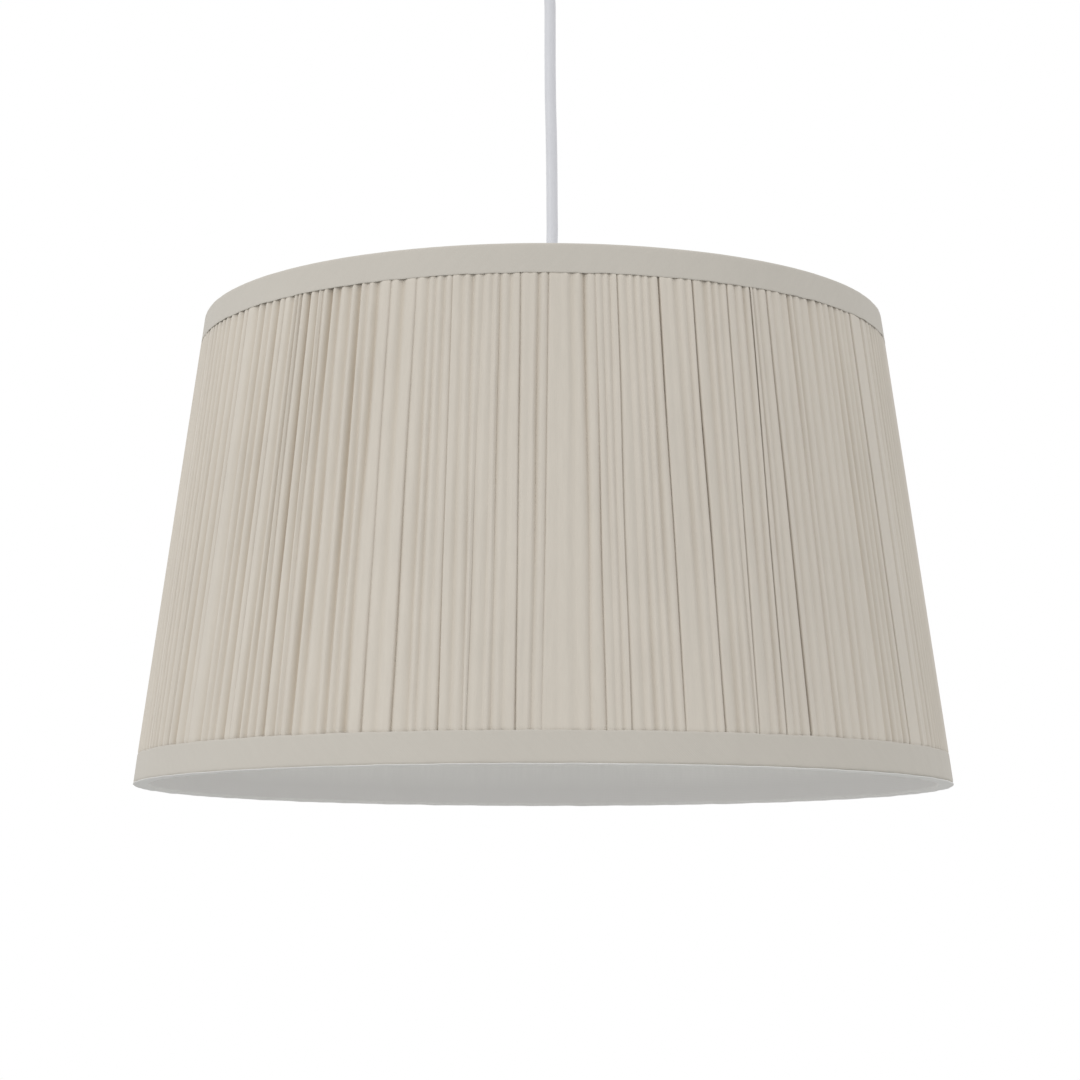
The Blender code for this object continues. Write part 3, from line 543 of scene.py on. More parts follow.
class SHADE_OT_flex(bpy.types.Operator):
    """Make the flex: a round PVC cable along one smooth curve from the rose to the lampholder"""

    bl_idname = "shade.flex"
    bl_label = "Flex"

    def execute(self, context):
        looks = context.scene.pendant_shade
        route = smooth_route(np.array(FLEX_ROUTE) * MM, 8)
        points = np.stack([route[:, 0], np.zeros(len(route)), route[:, 1], np.ones(len(route))], -1)
        curve = bpy.data.curves.new("flex_cable", "CURVE")
        curve.dimensions = "3D"
        curve.bevel_depth = looks.flex_diameter / 2
        curve.bevel_resolution = 10
        curve.use_fill_caps = True
        line = curve.splines.new("POLY")
        line.points.add(len(points) - 1)
        line.points.foreach_set("co", points.ravel())
        line.use_smooth = True
        flex = bpy.data.objects.new("flex_cable", curve)
        context.scene.collection.objects.link(flex)
        place(flex, finish("extruded white PVC"), "hanging_flex", "flex_pvc", "flex")
        return {"FINISHED"}


# --- gathered cover ---

FRONT = math.radians(-90)  # the angle of the side that faces -Y
# Places across one fold, from one crease to the next, closest together at the creases
ACROSS = np.array([0, 0.03, 0.07, 0.13, 0.2, 0.3, 0.4, 0.5, 0.6, 0.7, 0.8, 0.87, 0.93, 0.97])
# Folds where the cloth laps over itself: degrees round from the middle of the front, to the right, and how
# pronounced the fold is. A negative one laps the other way.
FRONT_KNIVES = {
    -54: 0.55, -44: 0.8, -23.3: -0.5, -19.2: -0.6, -13.3: 0.5, -3.4: -0.4, 0.3: 0.35, 7.8: 0.5, 10.9: -0.5,
    17.7: 1.05, 23.1: 1.2, 28.4: 1.0, 32.7: 1.2, 36.3: 1.15, 57.5: 0.8,
}
# How far over the crease a knife fold carries each of those places, and how deep it leaves them
KNIFE_LAP = np.pad([0, 0.55, 0.9, 1, 0.85, 0.45, 0.15], (0, 7))
KNIFE_EDGE = np.pad([1, 0.7, 0.38, 0.12], (0, 10))
SWAY = 0.0016  # how far a crease may wander sideways, in radians
NARROW_FOLD = 3.6 * MM  # a fold narrower than this is shallower
# How much deeper and wider than the rest the folds are, by degrees round from the middle of the front
GATHER_PLACES = [-180, -90, -60, -30, -12, 12, 30, 60, 90, 180]
DEPTH_SHARES = [1.1, 1.7, 2.0, 1.7, 1.1, 0.95, 1.1, 1.3, 1.3, 1.1]
WIDTH_SHARES = [1.0, 1.15, 1.3, 1.25, 1.0, 0.95, 0.95, 1.0, 1.05, 1.0]


def from_front(angle):
    """How far round from the middle of the front an angle lies, positive to the right, from -pi to pi."""
    return (angle - FRONT + math.pi) % TAU - math.pi


def crease_angles(random, count):
    """Where each crease starts at the top of the cover and ends at the bottom. The widths between creases are
    irregular and not quite the same at both ends, and here and there a fold all but dies out at one end.
    Round the shade the two ends keep in step, because the slow part of their difference is taken away. Last,
    the creases at the front are eased sideways until one lies at each of the chosen places."""
    steady = np.exp(random.normal(0, 0.18, count))
    even = full_turn(count)
    steady *= np.exp(0.08 * slow_noise(random, (3, 5, 7, 9, 13), even))
    steady *= np.interp(np.degrees(from_front(even)), GATHER_PLACES, WIDTH_SHARES)
    top = steady * np.exp(random.normal(0, 0.13, count))
    bottom = steady * np.exp(random.normal(0, 0.13, count))
    dying = random.permutation(count)[:count // 19]
    top[dying[::2]] *= 0.2
    bottom[dying[1::2]] *= 0.2
    top, bottom = (np.cumsum(widths) / widths.sum() * TAU for widths in (top, bottom))
    apart = top - bottom
    spectrum = np.fft.rfft(apart)
    spectrum[:8] = 0
    apart = np.fft.irfft(spectrum, count)
    middle = (top + bottom) / 2
    sideways = from_front(middle)
    wanted = np.radians(list(FRONT_KNIVES))
    nearest = np.abs(sideways[:, None] - wanted).argmin(0)
    moved = np.interp(sideways, wanted, wanted - sideways[nearest], left=0, right=0)
    return middle + moved + apart / 2, middle + moved - apart / 2


def crease_kinds(random, middle, soft_depth, knife_depth, overlap):
    """How deep, how sharp and how far lapped each crease is. Most are soft valleys, a few are all but flat,
    one in eleven is sharp, and the chosen ones and some at the back are knife folds, which lap either way."""
    count = len(middle)
    chance = random.uniform(0, 1, count)
    depth = soft_depth * random.uniform(0.65, 1.15, count)
    sharpness = random.uniform(0.0, 0.4, count)
    flat = chance < 0.04
    sharp = chance > 0.91
    depth[flat] *= 0.25
    depth[sharp] = soft_depth * random.uniform(1.2, 1.6, sharp.sum())
    sharpness[sharp] = random.uniform(0.6, 1.0, sharp.sum())
    sideways = from_front(middle)
    depth *= np.interp(np.degrees(sideways), GATHER_PLACES, DEPTH_SHARES)
    strength = random.uniform(0.5, 1, count) * random.choice([-1, 1], count)
    strength *= (chance > 0.93) & (np.abs(sideways) > np.radians(68))
    chosen = np.abs(sideways[:, None] - np.radians(list(FRONT_KNIVES))).argmin(0)
    strength[chosen] = list(FRONT_KNIVES.values())
    knife = strength != 0
    depth[knife] = knife_depth * (0.45 + 0.55 * np.abs(strength[knife]))
    sharpness[knife] = 1.0
    lap = overlap * strength * random.uniform(0.9, 1.3, count)
    depth[(chosen[-1] + np.array([1, 2])) % count] = 0.1 * soft_depth  # a flat panel beside the last of them
    return depth, sharpness, lap


def crease_shape(across, depth, sharpness, lapped, edge):
    """How deep the cloth lies at each place across a fold, because of the crease that across is counted from.
    A soft crease is half a cosine wave, a sharp one a parabola that is steepest at the crease, and where the
    cloth laps over the crease it is the knife's own edge."""
    soft = 0.5 + 0.5 * np.cos(math.pi * np.clip(across / 0.5, 0, 1))
    steep = np.clip(1 - across / 0.42, 0, 1) ** 2
    plain = soft * (1 - sharpness) + steep * sharpness
    return depth * np.where(lapped, edge, plain)


def cover_surface(looks):
    """Points of the gathered cover, [row, column], how deep each lies from 0 to 1, which paints shade into
    the deep folds, and the rows' heights. A row is a ring of folds, each with the same places across. The
    radius is the ridge's, less what the two creases beside it take off. A knife fold also carries its places
    sideways over the crease. Near the bands the folds are pressed flat enough to tuck under them."""
    random = np.random.default_rng(looks.fold_seed)
    count = looks.fold_count
    top, bottom = crease_angles(random, count)
    depth, sharpness, lap = crease_kinds(
        random, (top + bottom) / 2, looks.soft_depth, looks.knife_depth, looks.knife_overlap
    )
    tuck = 5.5 * MM
    ends = np.array([0, 3, 5, 5.6, 6.2, 6.9, 7.8, 10]) * MM
    first, last = BOTTOM_BAND_EDGE - tuck, TOP_BAND_EDGE + tuck
    between = np.linspace(first + ends[-1], last - ends[-1], 16)[1:-1]
    height = np.concatenate([first + ends, between, (last - ends)[::-1]])
    share = ((height - first) / (last - first))[:, None]
    sway_phase = random.uniform(0, TAU, (2, count))
    sway_size = random.uniform(0, 1, (2, count)) * SWAY
    sway = (sway_size * np.sin(share[..., None] * np.array([[4.1], [8.3]]) + sway_phase)).sum(1)
    sway *= np.sin(share * math.pi)
    crease = bottom + (top - bottom) * share + sway
    breath = 1 + 0.16 * np.sin(share * random.uniform(3, 9, count) + random.uniform(0, TAU, count))
    easing = random.uniform(0.25, 0.6, count) * np.where(lap == 0, 0.3, 1)
    slackening = 1 - easing * np.where(random.uniform(0, 1, count) < 0.5, share, 1 - share) ** 1.5
    deep = np.minimum(depth * breath * slackening, RIDGE_OFFSET - VALLEY_LIMIT)
    lapping = lap * slackening * (0.9 + 0.3 * np.sin(share * random.uniform(2, 6, count) + lap / MM))
    next_crease = np.roll(crease, -1, axis=1)
    next_crease[:, -1] += TAU
    width = next_crease - crease
    back_across = 1 - ACROSS
    radius = wall_radius(RIDGE_OFFSET, height)[:, None, None]
    room = np.clip(width * wall_radius(0, height)[:, None] / NARROW_FOLD, 0.15, 1)
    here = [values[..., None] for values in (deep * room, sharpness, lap > 0)]
    there = [np.roll(values, -1, axis=-1)[..., None] for values in (deep, sharpness, lap < 0)]
    there[0] = there[0] * room[..., None]
    edge_back = np.interp(back_across, ACROSS, KNIFE_EDGE)
    dip = crease_shape(ACROSS, *here, KNIFE_EDGE) + crease_shape(back_across, *there, edge_back)
    level = random.uniform(0, 0.16 * MM, count)[:, None] * np.sin(ACROSS * math.pi)
    offset = RIDGE_OFFSET - np.maximum(dip, 0) - level
    lap_here = np.clip(lapping, 0, None)[..., None] * KNIFE_LAP
    lap_back = np.interp(back_across, ACROSS, KNIFE_LAP)
    lap_there = np.clip(-np.roll(lapping, -1, axis=1), 0, None)[..., None] * lap_back
    angle = crease[..., None] + width[..., None] * ACROSS + (lap_there - lap_here) / radius
    edge_distance = np.minimum(height - BOTTOM_BAND_EDGE, TOP_BAND_EDGE - height)
    pressed = smoothstep(-0.5 * MM, 1.3 * MM, edge_distance)[:, None, None]
    squeeze = (TUCKED_OFFSET - VALLEY_LIMIT) / (RIDGE_OFFSET - VALLEY_LIMIT)
    offset = VALLEY_LIMIT + (offset - VALLEY_LIMIT) * (squeeze + (1 - squeeze) * pressed)
    row_height = height[:, None, None]
    points = around(wall_radius(offset, row_height), angle, row_height).reshape(len(height), -1, 3)
    # Painted shade: 1 in the deepest folds, where the cloth's colour is darkened and warmed
    painted_fold_shade = smoothstep(0.1, 1.1, (RIDGE_OFFSET - offset) / (RIDGE_OFFSET - VALLEY_LIMIT)) * pressed
    return points, painted_fold_shade.reshape(len(height), -1), height


class SHADE_OT_cover(bpy.types.Operator):
    """Make the gathered cover: one sheet whose radius and angle carry irregular folds round the frame"""

    bl_idname = "shade.cover"
    bl_label = "Gathered cover"

    def execute(self, context):
        points, painted_fold_shade, height = cover_surface(context.scene.pendant_shade)
        middle = points[len(points) // 2]
        steps = np.linalg.norm(np.roll(middle, -1, axis=0) - middle, axis=1)
        along = np.concatenate([[0], np.cumsum(steps)])
        cover = grid_piece(
            "pleated_cover", points, wrap_columns=True, uv=(along, height), values={"painted_fold_shade": painted_fold_shade}
        )
        place(cover, finish("gathered poly-cotton voile"), "shade", "gathered_cotton", "gathered_cover")
        return {"FINISHED"}


# --- lining and bands ---


SLIT_FULL = RING_WIRE + GAP  # half the width of a slit for an arm, at its end
SLIT_NONE = SLIT_FULL + 0.15 * MM  # and at its mouth


def arm_notch(angle, radius):
    """1 across a slit for an arm, measured round the ring, 0 outside it, and a straight slope between."""
    away = np.abs((angle[:, None] - ARM_ANGLES + math.pi) % TAU - math.pi).min(1) * radius
    return np.clip((SLIT_NONE - away) / (SLIT_NONE - SLIT_FULL), 0, 1)


def columns_round(count, radius):
    """Angles round the shade, evenly spread, with more beside the arms for the slits' straight sides."""
    beside = np.array([-4.0, -3.0, -2.3, -SLIT_NONE / MM, -SLIT_FULL / MM]) * MM / radius
    beside = np.concatenate([beside, -beside])
    extra = (ARM_ANGLES[:, None] + beside).ravel()
    return np.unique(np.concatenate([full_turn(count), extra]).round(6) % TAU)


FACE = 34  # rows down each face of the lining
HEM = 14  # rows round its hem, which is turned out under the band


class SHADE_OT_lining(bpy.types.Operator):
    """Make the lining: a cone of two faces that ripples between the rings and is turned out under the band"""

    bl_idname = "shade.lining"
    bl_label = "Lining"

    def execute(self, context):
        random = np.random.default_rng(5)
        angle = columns_round(480, TOP_RING_RADIUS)
        slit = SHADE_TOP - TOP_RING_Z + RING_WIRE
        upper = SHADE_TOP - GAP - arm_notch(angle, TOP_RING_RADIUS) * slit
        hem = 0.07 * MM * slow_noise(random, (31, 44, 58, 73, 90), angle)
        hem += 0.3 * MM * (1 + np.cos(angle - math.radians(50)))
        lower = SHADE_BOTTOM + 0.9 * MM
        share = np.concatenate([np.linspace(1, 0, FACE), np.zeros(HEM), np.linspace(0, 1, FACE)])[:, None]
        side = np.concatenate([np.full(FACE, 1.0), np.full(HEM, 0.5), np.zeros(FACE)])[:, None]
        height = lower + (upper - lower) * share
        ripple = (
            slow_noise(random, (9, 14, 22, 27), angle) * np.sin(share * 3.1)
            + slow_noise(random, (35, 41, 52, 63), angle) * np.sin(share * math.pi) * 0.55
            + slow_noise(random, (5, 8, 11), angle) * np.sin(share * 9.0 + 1) * 0.5
        )
        slack = 0.5 * MM * ripple * np.sin(share * math.pi).clip(0) ** 0.5
        offset = LINING_OFFSET - side * LINING_CLOTH - np.abs(slack) * 1.3
        hem_outside, hem_inside = BAND_OUTSIDE + 0.15 * MM, LINING_OFFSET - LINING_CLOTH
        curl = np.radians(np.linspace(180, 0, HEM + 2)[1:-1])[:, None]
        roll = slice(FACE, FACE + HEM)
        across = np.sign(np.cos(curl)) * np.abs(np.cos(curl)) ** 0.4
        offset[roll] = (hem_outside + hem_inside) / 2 + (hem_outside - hem_inside) / 2 * across
        height[roll] = lower - (1.35 * MM + hem) * np.sin(curl) ** 0.3
        points = around(wall_radius(offset, height), angle, height)
        travelled = np.concatenate([angle, angle[:1] + TAU]) * BOTTOM_RING_RADIUS
        climb = np.concatenate([height[:, 0], height[:1, 0]])
        edge_distance = np.minimum(height - BOTTOM_BAND_EDGE, TOP_BAND_EDGE - height)
        # Painted shade: the lining is darker where a band lies behind it, fading over a few millimetres
        painted_band_shade = 1 - smoothstep(-2 * MM, 3 * MM, edge_distance)
        painted_band_shade[roll] = 0
        lining = grid_piece(
            "cotton_lining", points, wrap_rows=True, wrap_columns=True, uv=(travelled, climb),
            values={"painted_band_shade": painted_band_shade},
        )
        place(lining, finish("bleached cotton lining"), "shade", "lining_cotton", "lining")
        return {"FINISHED"}


LEG, TURN, RETURN = 15, 19, 7  # points down a band's outer leg, round the ring and up its inner leg


def band_face(inset, leg, turn, roll, inner_leg):
    """(offset, height) points along one face of a band, inset from its outside: down the outer leg, round the
    ring on half a squarish ellipse, and up the inner leg."""
    middle, half = (BAND_OUTSIDE + BAND_INSIDE) / 2, (BAND_OUTSIDE - BAND_INSIDE) / 2
    sideways = np.sign(np.cos(turn)) * np.abs(np.cos(turn)) ** 0.35
    return np.concatenate([
        np.stack([np.full(LEG, BAND_OUTSIDE - inset), leg], -1),
        np.stack([middle + (half - inset) * sideways, -(roll - inset) * np.sin(turn) ** 0.5], -1),
        np.stack([np.full(RETURN, BAND_INSIDE + inset), inner_leg], -1),
    ])


def band_section(away, ring_z, edge, turn_in):
    """The band's cross-section as (offset, height) points, down its outer face and back along its inner one,
    and for each point how much of the outer leg's pucker and of the inner leg's shortening it takes."""
    roll = abs((SHADE_BOTTOM if away > 0 else SHADE_TOP) - ring_z)
    leg = np.linspace(abs(edge - ring_z), 0, LEG + 1)[:-1]
    inner_leg = np.linspace(0, turn_in - roll, RETURN + 1)[1:]
    turn = np.radians(np.linspace(0, 180, TURN))
    outer, inner = (band_face(inset, leg, turn, roll, inner_leg) for inset in (0, BAND_CLOTH))
    hem = np.array([[BAND_OUTSIDE - share * BAND_CLOTH, leg[0] + 0.1 * MM] for share in (0.25, 0.75)])
    section = np.concatenate([outer, inner[::-1], hem[::-1]])
    section[:, 1] = ring_z + away * section[:, 1]
    pucker = np.concatenate([np.ones(LEG), np.linspace(1, 0, TURN), np.zeros(RETURN)])
    inside = np.concatenate([np.zeros(LEG + TURN), np.linspace(0, 1, RETURN + 1)[1:]])
    pucker = np.concatenate([pucker, pucker[::-1], [1, 1]])
    inside = np.concatenate([inside, inside[::-1], [0, 0]])
    return section, pucker[:, None], inside[:, None]


def make_band(name, node, seed, away, ring_z, ring_radius, edge):
    """A band round one ring: its section turned round the shade. The outer leg puckers and its edge wavers by
    a tenth of a millimetre or two, and at the back one end laps over the other. The top band's inner leg is
    cut short wherever an arm passes."""
    random = np.random.default_rng(seed)
    angle = columns_round(720, ring_radius)
    turn_in = 8 * MM
    section, pucker, inside = band_section(away, ring_z, edge, turn_in)
    offset, height = section[:, :1], section[:, 1:]
    distance = np.abs(height - ring_z)
    waves = slow_noise(random, (23, 37, 55, 71), angle) * 0.05
    waves += slow_noise(random, (90, 121, 149), angle) * 0.03
    slope = slow_noise(random, (19, 31, 47, 64), angle) * 0.07 * distance / (12 * MM)
    seam = math.radians(97)
    past = (angle - seam) * ring_radius
    lap = smoothstep(-0.25 * MM, 0, past) * (1 - smoothstep(9 * MM, 17 * MM, past)) * BAND_CLOTH
    offset = offset + pucker * ((waves + slope) * MM + lap)
    wavering = 0.09 * MM * slow_noise(random, (29, 43, 66, 87), angle)
    height = height + away * pucker * wavering * (distance / (12 * MM)) ** 2
    if away < 0:
        height = height + inside * arm_notch(angle, ring_radius) * (turn_in - 2.0 * MM)
    points = around(wall_radius(offset, height), angle, height)
    travelled = np.concatenate([angle, angle[:1] + TAU]) * ring_radius
    steps = np.linalg.norm(np.diff(section, axis=0), axis=1)
    climb = np.concatenate([[0], np.cumsum(steps), [steps.sum() + BAND_CLOTH]])
    band = grid_piece(name, points, wrap_rows=True, wrap_columns=True, uv=(travelled, climb))
    place(band, finish("bias-cut cotton binding"), "shade", "band_cotton", node)


class SHADE_OT_bands(bpy.types.Operator):
    """Make the two plain bands that bind the shade's edges round the rings"""

    bl_idname = "shade.bands"
    bl_label = "Bands"

    def execute(self, context):
        make_band("lower_binding", "bottom_band", 21, 1, BOTTOM_RING_Z, BOTTOM_RING_RADIUS, BOTTOM_BAND_EDGE)
        make_band("upper_binding", "top_band", 22, -1, TOP_RING_Z, TOP_RING_RADIUS, TOP_BAND_EDGE)
        return {"FINISHED"}


# --- wire frame ---


class SHADE_OT_wire_frame(bpy.types.Operator):
    """Make the enamelled wire frame: two rings, six struts, three dropped arms and the plate they carry"""

    bl_idname = "shade.wire_frame"
    bl_label = "Wire frame"

    def execute(self, context):
        enamel = finish("white stove enamel")
        for name, radius, height in (
            ("top_ring", TOP_RING_RADIUS, TOP_RING_Z), ("bottom_ring", BOTTOM_RING_RADIUS, BOTTOM_RING_Z)
        ):
            path = around(radius, full_turn(240), height)
            ring = tube(name + "_wire", path, RING_WIRE, (0, 0, 1), ends=False)
            place(ring, enamel, "shade", "frame_paint", name)
        bottom = BOTTOM_RING_Z + RING_WIRE + GAP + 0.4 * STRUT_WIRE
        top = TOP_RING_Z - RING_WIRE - GAP - 0.4 * STRUT_WIRE
        height = np.linspace(bottom, top, 12)
        for number, angle in enumerate(STRUT_ANGLES, 1):
            path = around(wall_radius(0, height), angle, height)
            strut = tube(f"strut_wire_{number}", path, STRUT_WIRE, (-math.sin(angle), math.cos(angle), 0))
            place(strut, enamel, "shade", "frame_paint", f"strut_{number}")
        plate_low, plate_top, rim = span("fitter_plate")
        inside_ring = TOP_RING_RADIUS - RING_WIRE - GAP
        outer, shoulder, inner = inside_ring - 0.4 * RING_WIRE, inside_ring - 12 * MM, rim - 6.3 * MM
        radii = [outer, shoulder, shoulder - 14 * MM, inner + 0.5 * RING_WIRE]
        foot = plate_top + GAP + RING_WIRE
        for number, angle in enumerate(ARM_ANGLES, 1):
            path = bent_path(around(radii, angle, [TOP_RING_Z, TOP_RING_Z, foot, foot]), 6 * MM)
            arm = tube(f"arm_wire_{number}", path, RING_WIRE, (-math.sin(angle), math.cos(angle), 0))
            place(arm, enamel, "shade", "frame_paint", f"fitter_arm_{number}")
        bore = rim - 9 * MM
        corners = [
            (bore, plate_low, 0.35), (rim, plate_low, 0.35), (rim, plate_top, 0.5), (bore, plate_top, 0.5)
        ]
        plate = turned("fitter_washer", finer(rounded(corners), 1.5 * MM), ripple=scallops(rim))
        place(plate, enamel, "shade", "frame_paint", "fitter_plate")
        return {"FINISHED"}


def scallops(rim):
    """A ripple of twelve faint scallops in the plate's outer edge, as a press tool leaves them."""

    def ripple(radius, angle, height):
        return -0.12 * MM * (0.5 + 0.5 * np.cos(12 * angle)) * smoothstep(rim - 1 * MM, rim, radius)

    return ripple


# --- lampholder ---


def zone(low_end, high_end, fade, height):
    """1 between two heights, fading to 0 at both of them."""
    return smoothstep(low_end, low_end + fade, height) * (1 - smoothstep(high_end - fade, high_end, height))


def grip(low_end, high_end, surface, count, depth, fade=1.2 * MM):
    """A ripple of upright grip ribs between two heights, on the points that lie further out than surface."""

    def ripple(radius, angle, height):
        groove = 1 - np.abs(np.cos(count / 2 * angle)) ** 0.7
        return -depth * groove * zone(low_end, high_end, fade, height) * (radius > surface)

    return ripple


def make_cap():
    """The domed cap: ribs round its straight part, an elliptical dome, and a flared mouth for the flex."""
    bottom, top, outer = span("holder_cap")
    wall, neck, throat, mouth = 2 * MM, 8 * MM, 3.2 * MM, 4.88 * MM
    inner, shoulder = outer - wall, bottom + 15.4 * MM
    roof = top - 5 * MM - wall
    dome = ellipse_quarter((neck, shoulder), (outer - neck, top - shoulder), 19, 0, 90)
    hollow = ellipse_quarter((throat, shoulder), (inner - throat, roof - shoulder), 19, 90, 0)
    corners = [
        (inner, bottom, 0.3), (outer, bottom, 0.5), (outer, shoulder, 0), *sharp(dome), (neck, top, 0.9),
        (mouth, top, 0.6), (throat, top - 5.87 * MM, 0.3), *sharp(hollow), (inner, shoulder, 0),
    ]
    ribs = grip(bottom + 1.2 * MM, shoulder - 0.5 * MM, outer - 0.6 * MM, 60, 0.4 * MM)
    return turned("holder_dome", finer(rounded(corners), 0.9 * MM), columns=360, ripple=ribs)


SLOT_HALF_WIDTH = 1.4 * MM
SLOT_REACH = 3.6 * MM  # how far round from its way in each slot goes


def barrel_ripple(bore, thread, rim, shoulder, pitch):
    """The barrel's thread and its two J-shaped slots. The thread is a rounded ridge that climbs one pitch in
    a turn. A slot is a step outwards of the bore between straight sides: up from the rim, then round."""
    slot_depth, rise, surface = 1.6 * MM, 8 * MM, 0.1 * MM

    def ripple(radius, angle, height):
        turns = (height - rim) / pitch - angle / TAU
        ridge = np.abs(2 * (turns - np.floor(turns)) - 1)
        on_thread = (np.abs(radius - thread) < surface) & (height > rim) & (height < shoulder)
        run_out = smoothstep(rim, rim + 1.2 * MM, height)
        run_out *= 1 - smoothstep(shoulder - 2 * MM, shoulder, height)
        cut = -0.75 * MM * smoothstep(0.25, 0.75, ridge) * run_out * on_thread
        sideways = np.cos(angle) * bore * np.sign(np.sin(angle))
        entry = (np.abs(sideways) < SLOT_HALF_WIDTH) & (height < rim + rise)
        catch_z = rim + rise - SLOT_HALF_WIDTH - GAP
        turned_in = (sideways > -SLOT_REACH) & (sideways < SLOT_HALF_WIDTH)
        catch = turned_in & (np.abs(height - catch_z) < SLOT_HALF_WIDTH)
        in_bore = (np.abs(radius - bore) < surface) & (np.abs(np.cos(angle)) < 0.5)
        return cut + slot_depth * (entry | catch) * in_bore

    return ripple


def make_barrel(pitch):
    """The barrel: a plain bore with two bayonet slots inside, a thread outside, and the shade's shoulder."""
    rim, top, flange = span("holder_barrel")
    bore, chamber, thread, spigot = 11.3 * MM, 13.5 * MM, 14.3 * MM, 16.5 * MM
    shoulder = high("reducer_ring").z + GAP
    flange_top, seat = shoulder + 3 * MM, low("contact_block").z - GAP
    corners = [
        (bore, rim, 0.4), (thread, rim, 0.4), (thread, shoulder, 0), (flange, shoulder, 0.4),
        (flange, flange_top, 0.4), (spigot, flange_top, 0), (spigot, top, 0.4), (chamber, top, 0.3),
        (chamber, seat, 0), (bore, seat, 0.2),
    ]
    outline = finer(rounded(corners), 0.25 * MM)
    sides = np.array([-SLOT_REACH, -SLOT_HALF_WIDTH, SLOT_HALF_WIDTH, SLOT_REACH]) / bore
    steps = (sides[:, None] + np.array([-0.004, 0.004])).ravel()  # close pairs keep the slots' sides upright
    extra = np.concatenate([TAU / 4 + steps, 3 * TAU / 4 + steps])
    angles = np.unique(np.concatenate([full_turn(120), extra]))
    ripple = barrel_ripple(bore, thread, rim, shoulder, pitch)
    return turned("threaded_barrel", outline, ripple=ripple, angles=angles)


def make_plunger(name, node):
    """A sprung contact: a rounded tip, its stem, and the collar that keeps it in the block."""
    bottom, top, outer = span(node)
    middle = (low(node).x + outer) / 2
    tip, collar, collar_low = 2 * MM, outer - middle, top - 3.6 * MM
    turn = np.radians(np.linspace(0, 90, 9))
    crown = np.stack([tip * np.sin(turn), bottom + tip / 2 - tip / 2 * np.cos(turn)], -1)
    corners = sharp(crown)
    corners += [(tip, collar_low, 0.15), (collar, collar_low, 0.25), (collar, top, 0.3), (0, top, 0)]
    return turned(name, rounded(corners), columns=48, closed=False, at=(middle, 0))


def make_spring(name, node):
    """A coil of fine wire, six turns, with its end turns lying closer than the rest."""
    bottom, top, outer = span(node)
    middle = (low(node).x + outer) / 2
    wire, turns = 0.25 * MM, 6
    coil, end_room = outer - middle - wire, 1.6 * wire
    share = np.linspace(0, 1, turns * 24 + 1)
    climb = share - 0.07 * np.sin(share * TAU)
    path = around(coil, share * TAU * turns, bottom + end_room + (top - bottom - 2 * end_room) * climb)
    return tube(name, path + np.array([middle, 0, 0]), wire, (0, 0, 1), sides=10)


class SHADE_OT_lampholder(bpy.types.Operator):
    """Make the lampholder: domed cap, threaded barrel, sprung contacts, and the finishes of what is inside"""

    bl_idname = "shade.lampholder"
    bl_label = "Lampholder"

    def execute(self, context):
        resin, brass, steel = map(finish, ("moulded urea resin", "turned brass", "drawn spring steel"))
        place(make_cap(), resin, "lampholder", "white_moulding", "holder_cap")
        barrel = make_barrel(context.scene.pendant_shade.thread_pitch)
        place(barrel, resin, "lampholder", "white_moulding", "holder_barrel")
        for number in (1, 2):
            pin, coil, joint = f"plunger_{number}", f"plunger_spring_{number}", f"plunger_{number}_press"
            plunger = make_plunger(f"contact_pin_{number}", pin)
            place(plunger, brass, f"contact_{number}", "brass", pin)
            spring = make_spring(f"contact_coil_{number}", coil)
            place(spring, steel, "lampholder", "spring_steel", coil)
            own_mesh(spring)
        return {"FINISHED"}


class SHADE_OT_clamp(bpy.types.Operator):
    """Make the reducer that fits the plate to the holder, and the skirted shade ring that clamps it"""

    bl_idname = "shade.clamp"
    bl_label = "Reducer and shade ring"

    def execute(self, context):
        resin = finish("moulded urea resin")
        bore, boss, nut, wall = 14.6 * MM, 20.7 * MM, 20 * MM, 2 * MM
        bottom, top, flange = span("reducer_ring")
        flange_top = low("fitter_plate").z - GAP
        corners = [
            (bore, bottom, 0.3), (flange, bottom, 0.5), (flange, flange_top, 0.5), (boss, flange_top, 0.2),
            (boss, top, 0.4), (bore, top, 0.3),
        ]
        edge = grip(bottom - 5 * MM, flange_top + 5 * MM, flange - 1 * MM, 36, 0.3 * MM)
        reducer = turned("reducer", finer(rounded(corners), 0.8 * MM), columns=288, ripple=edge)
        place(reducer, resin, "reducer", "white_moulding", "reducer_ring")
        bottom, top, skirt = span("shade_ring")
        waist = bottom + 12 * MM
        corners = [
            (bore, top, 0.4), (bore, waist, 0.3), (nut - wall, waist - wall, 0.8),
            (skirt - wall, bottom, 0.4), (skirt, bottom, 0.6), (nut, waist, 3), (nut, top, 0.8),
        ]
        ribs = grip(waist + 0.6 * MM, top - 0.4 * MM, nut - 1 * MM, 40, 0.6 * MM, fade=0.8 * MM)
        ring = turned("clamping_ring", finer(rounded(corners), 0.5 * MM), columns=320, ripple=ribs)
        place(ring, resin, "clamp_ring", "white_moulding", "shade_ring")
        return {"FINISHED"}


# --- ceiling rose ---


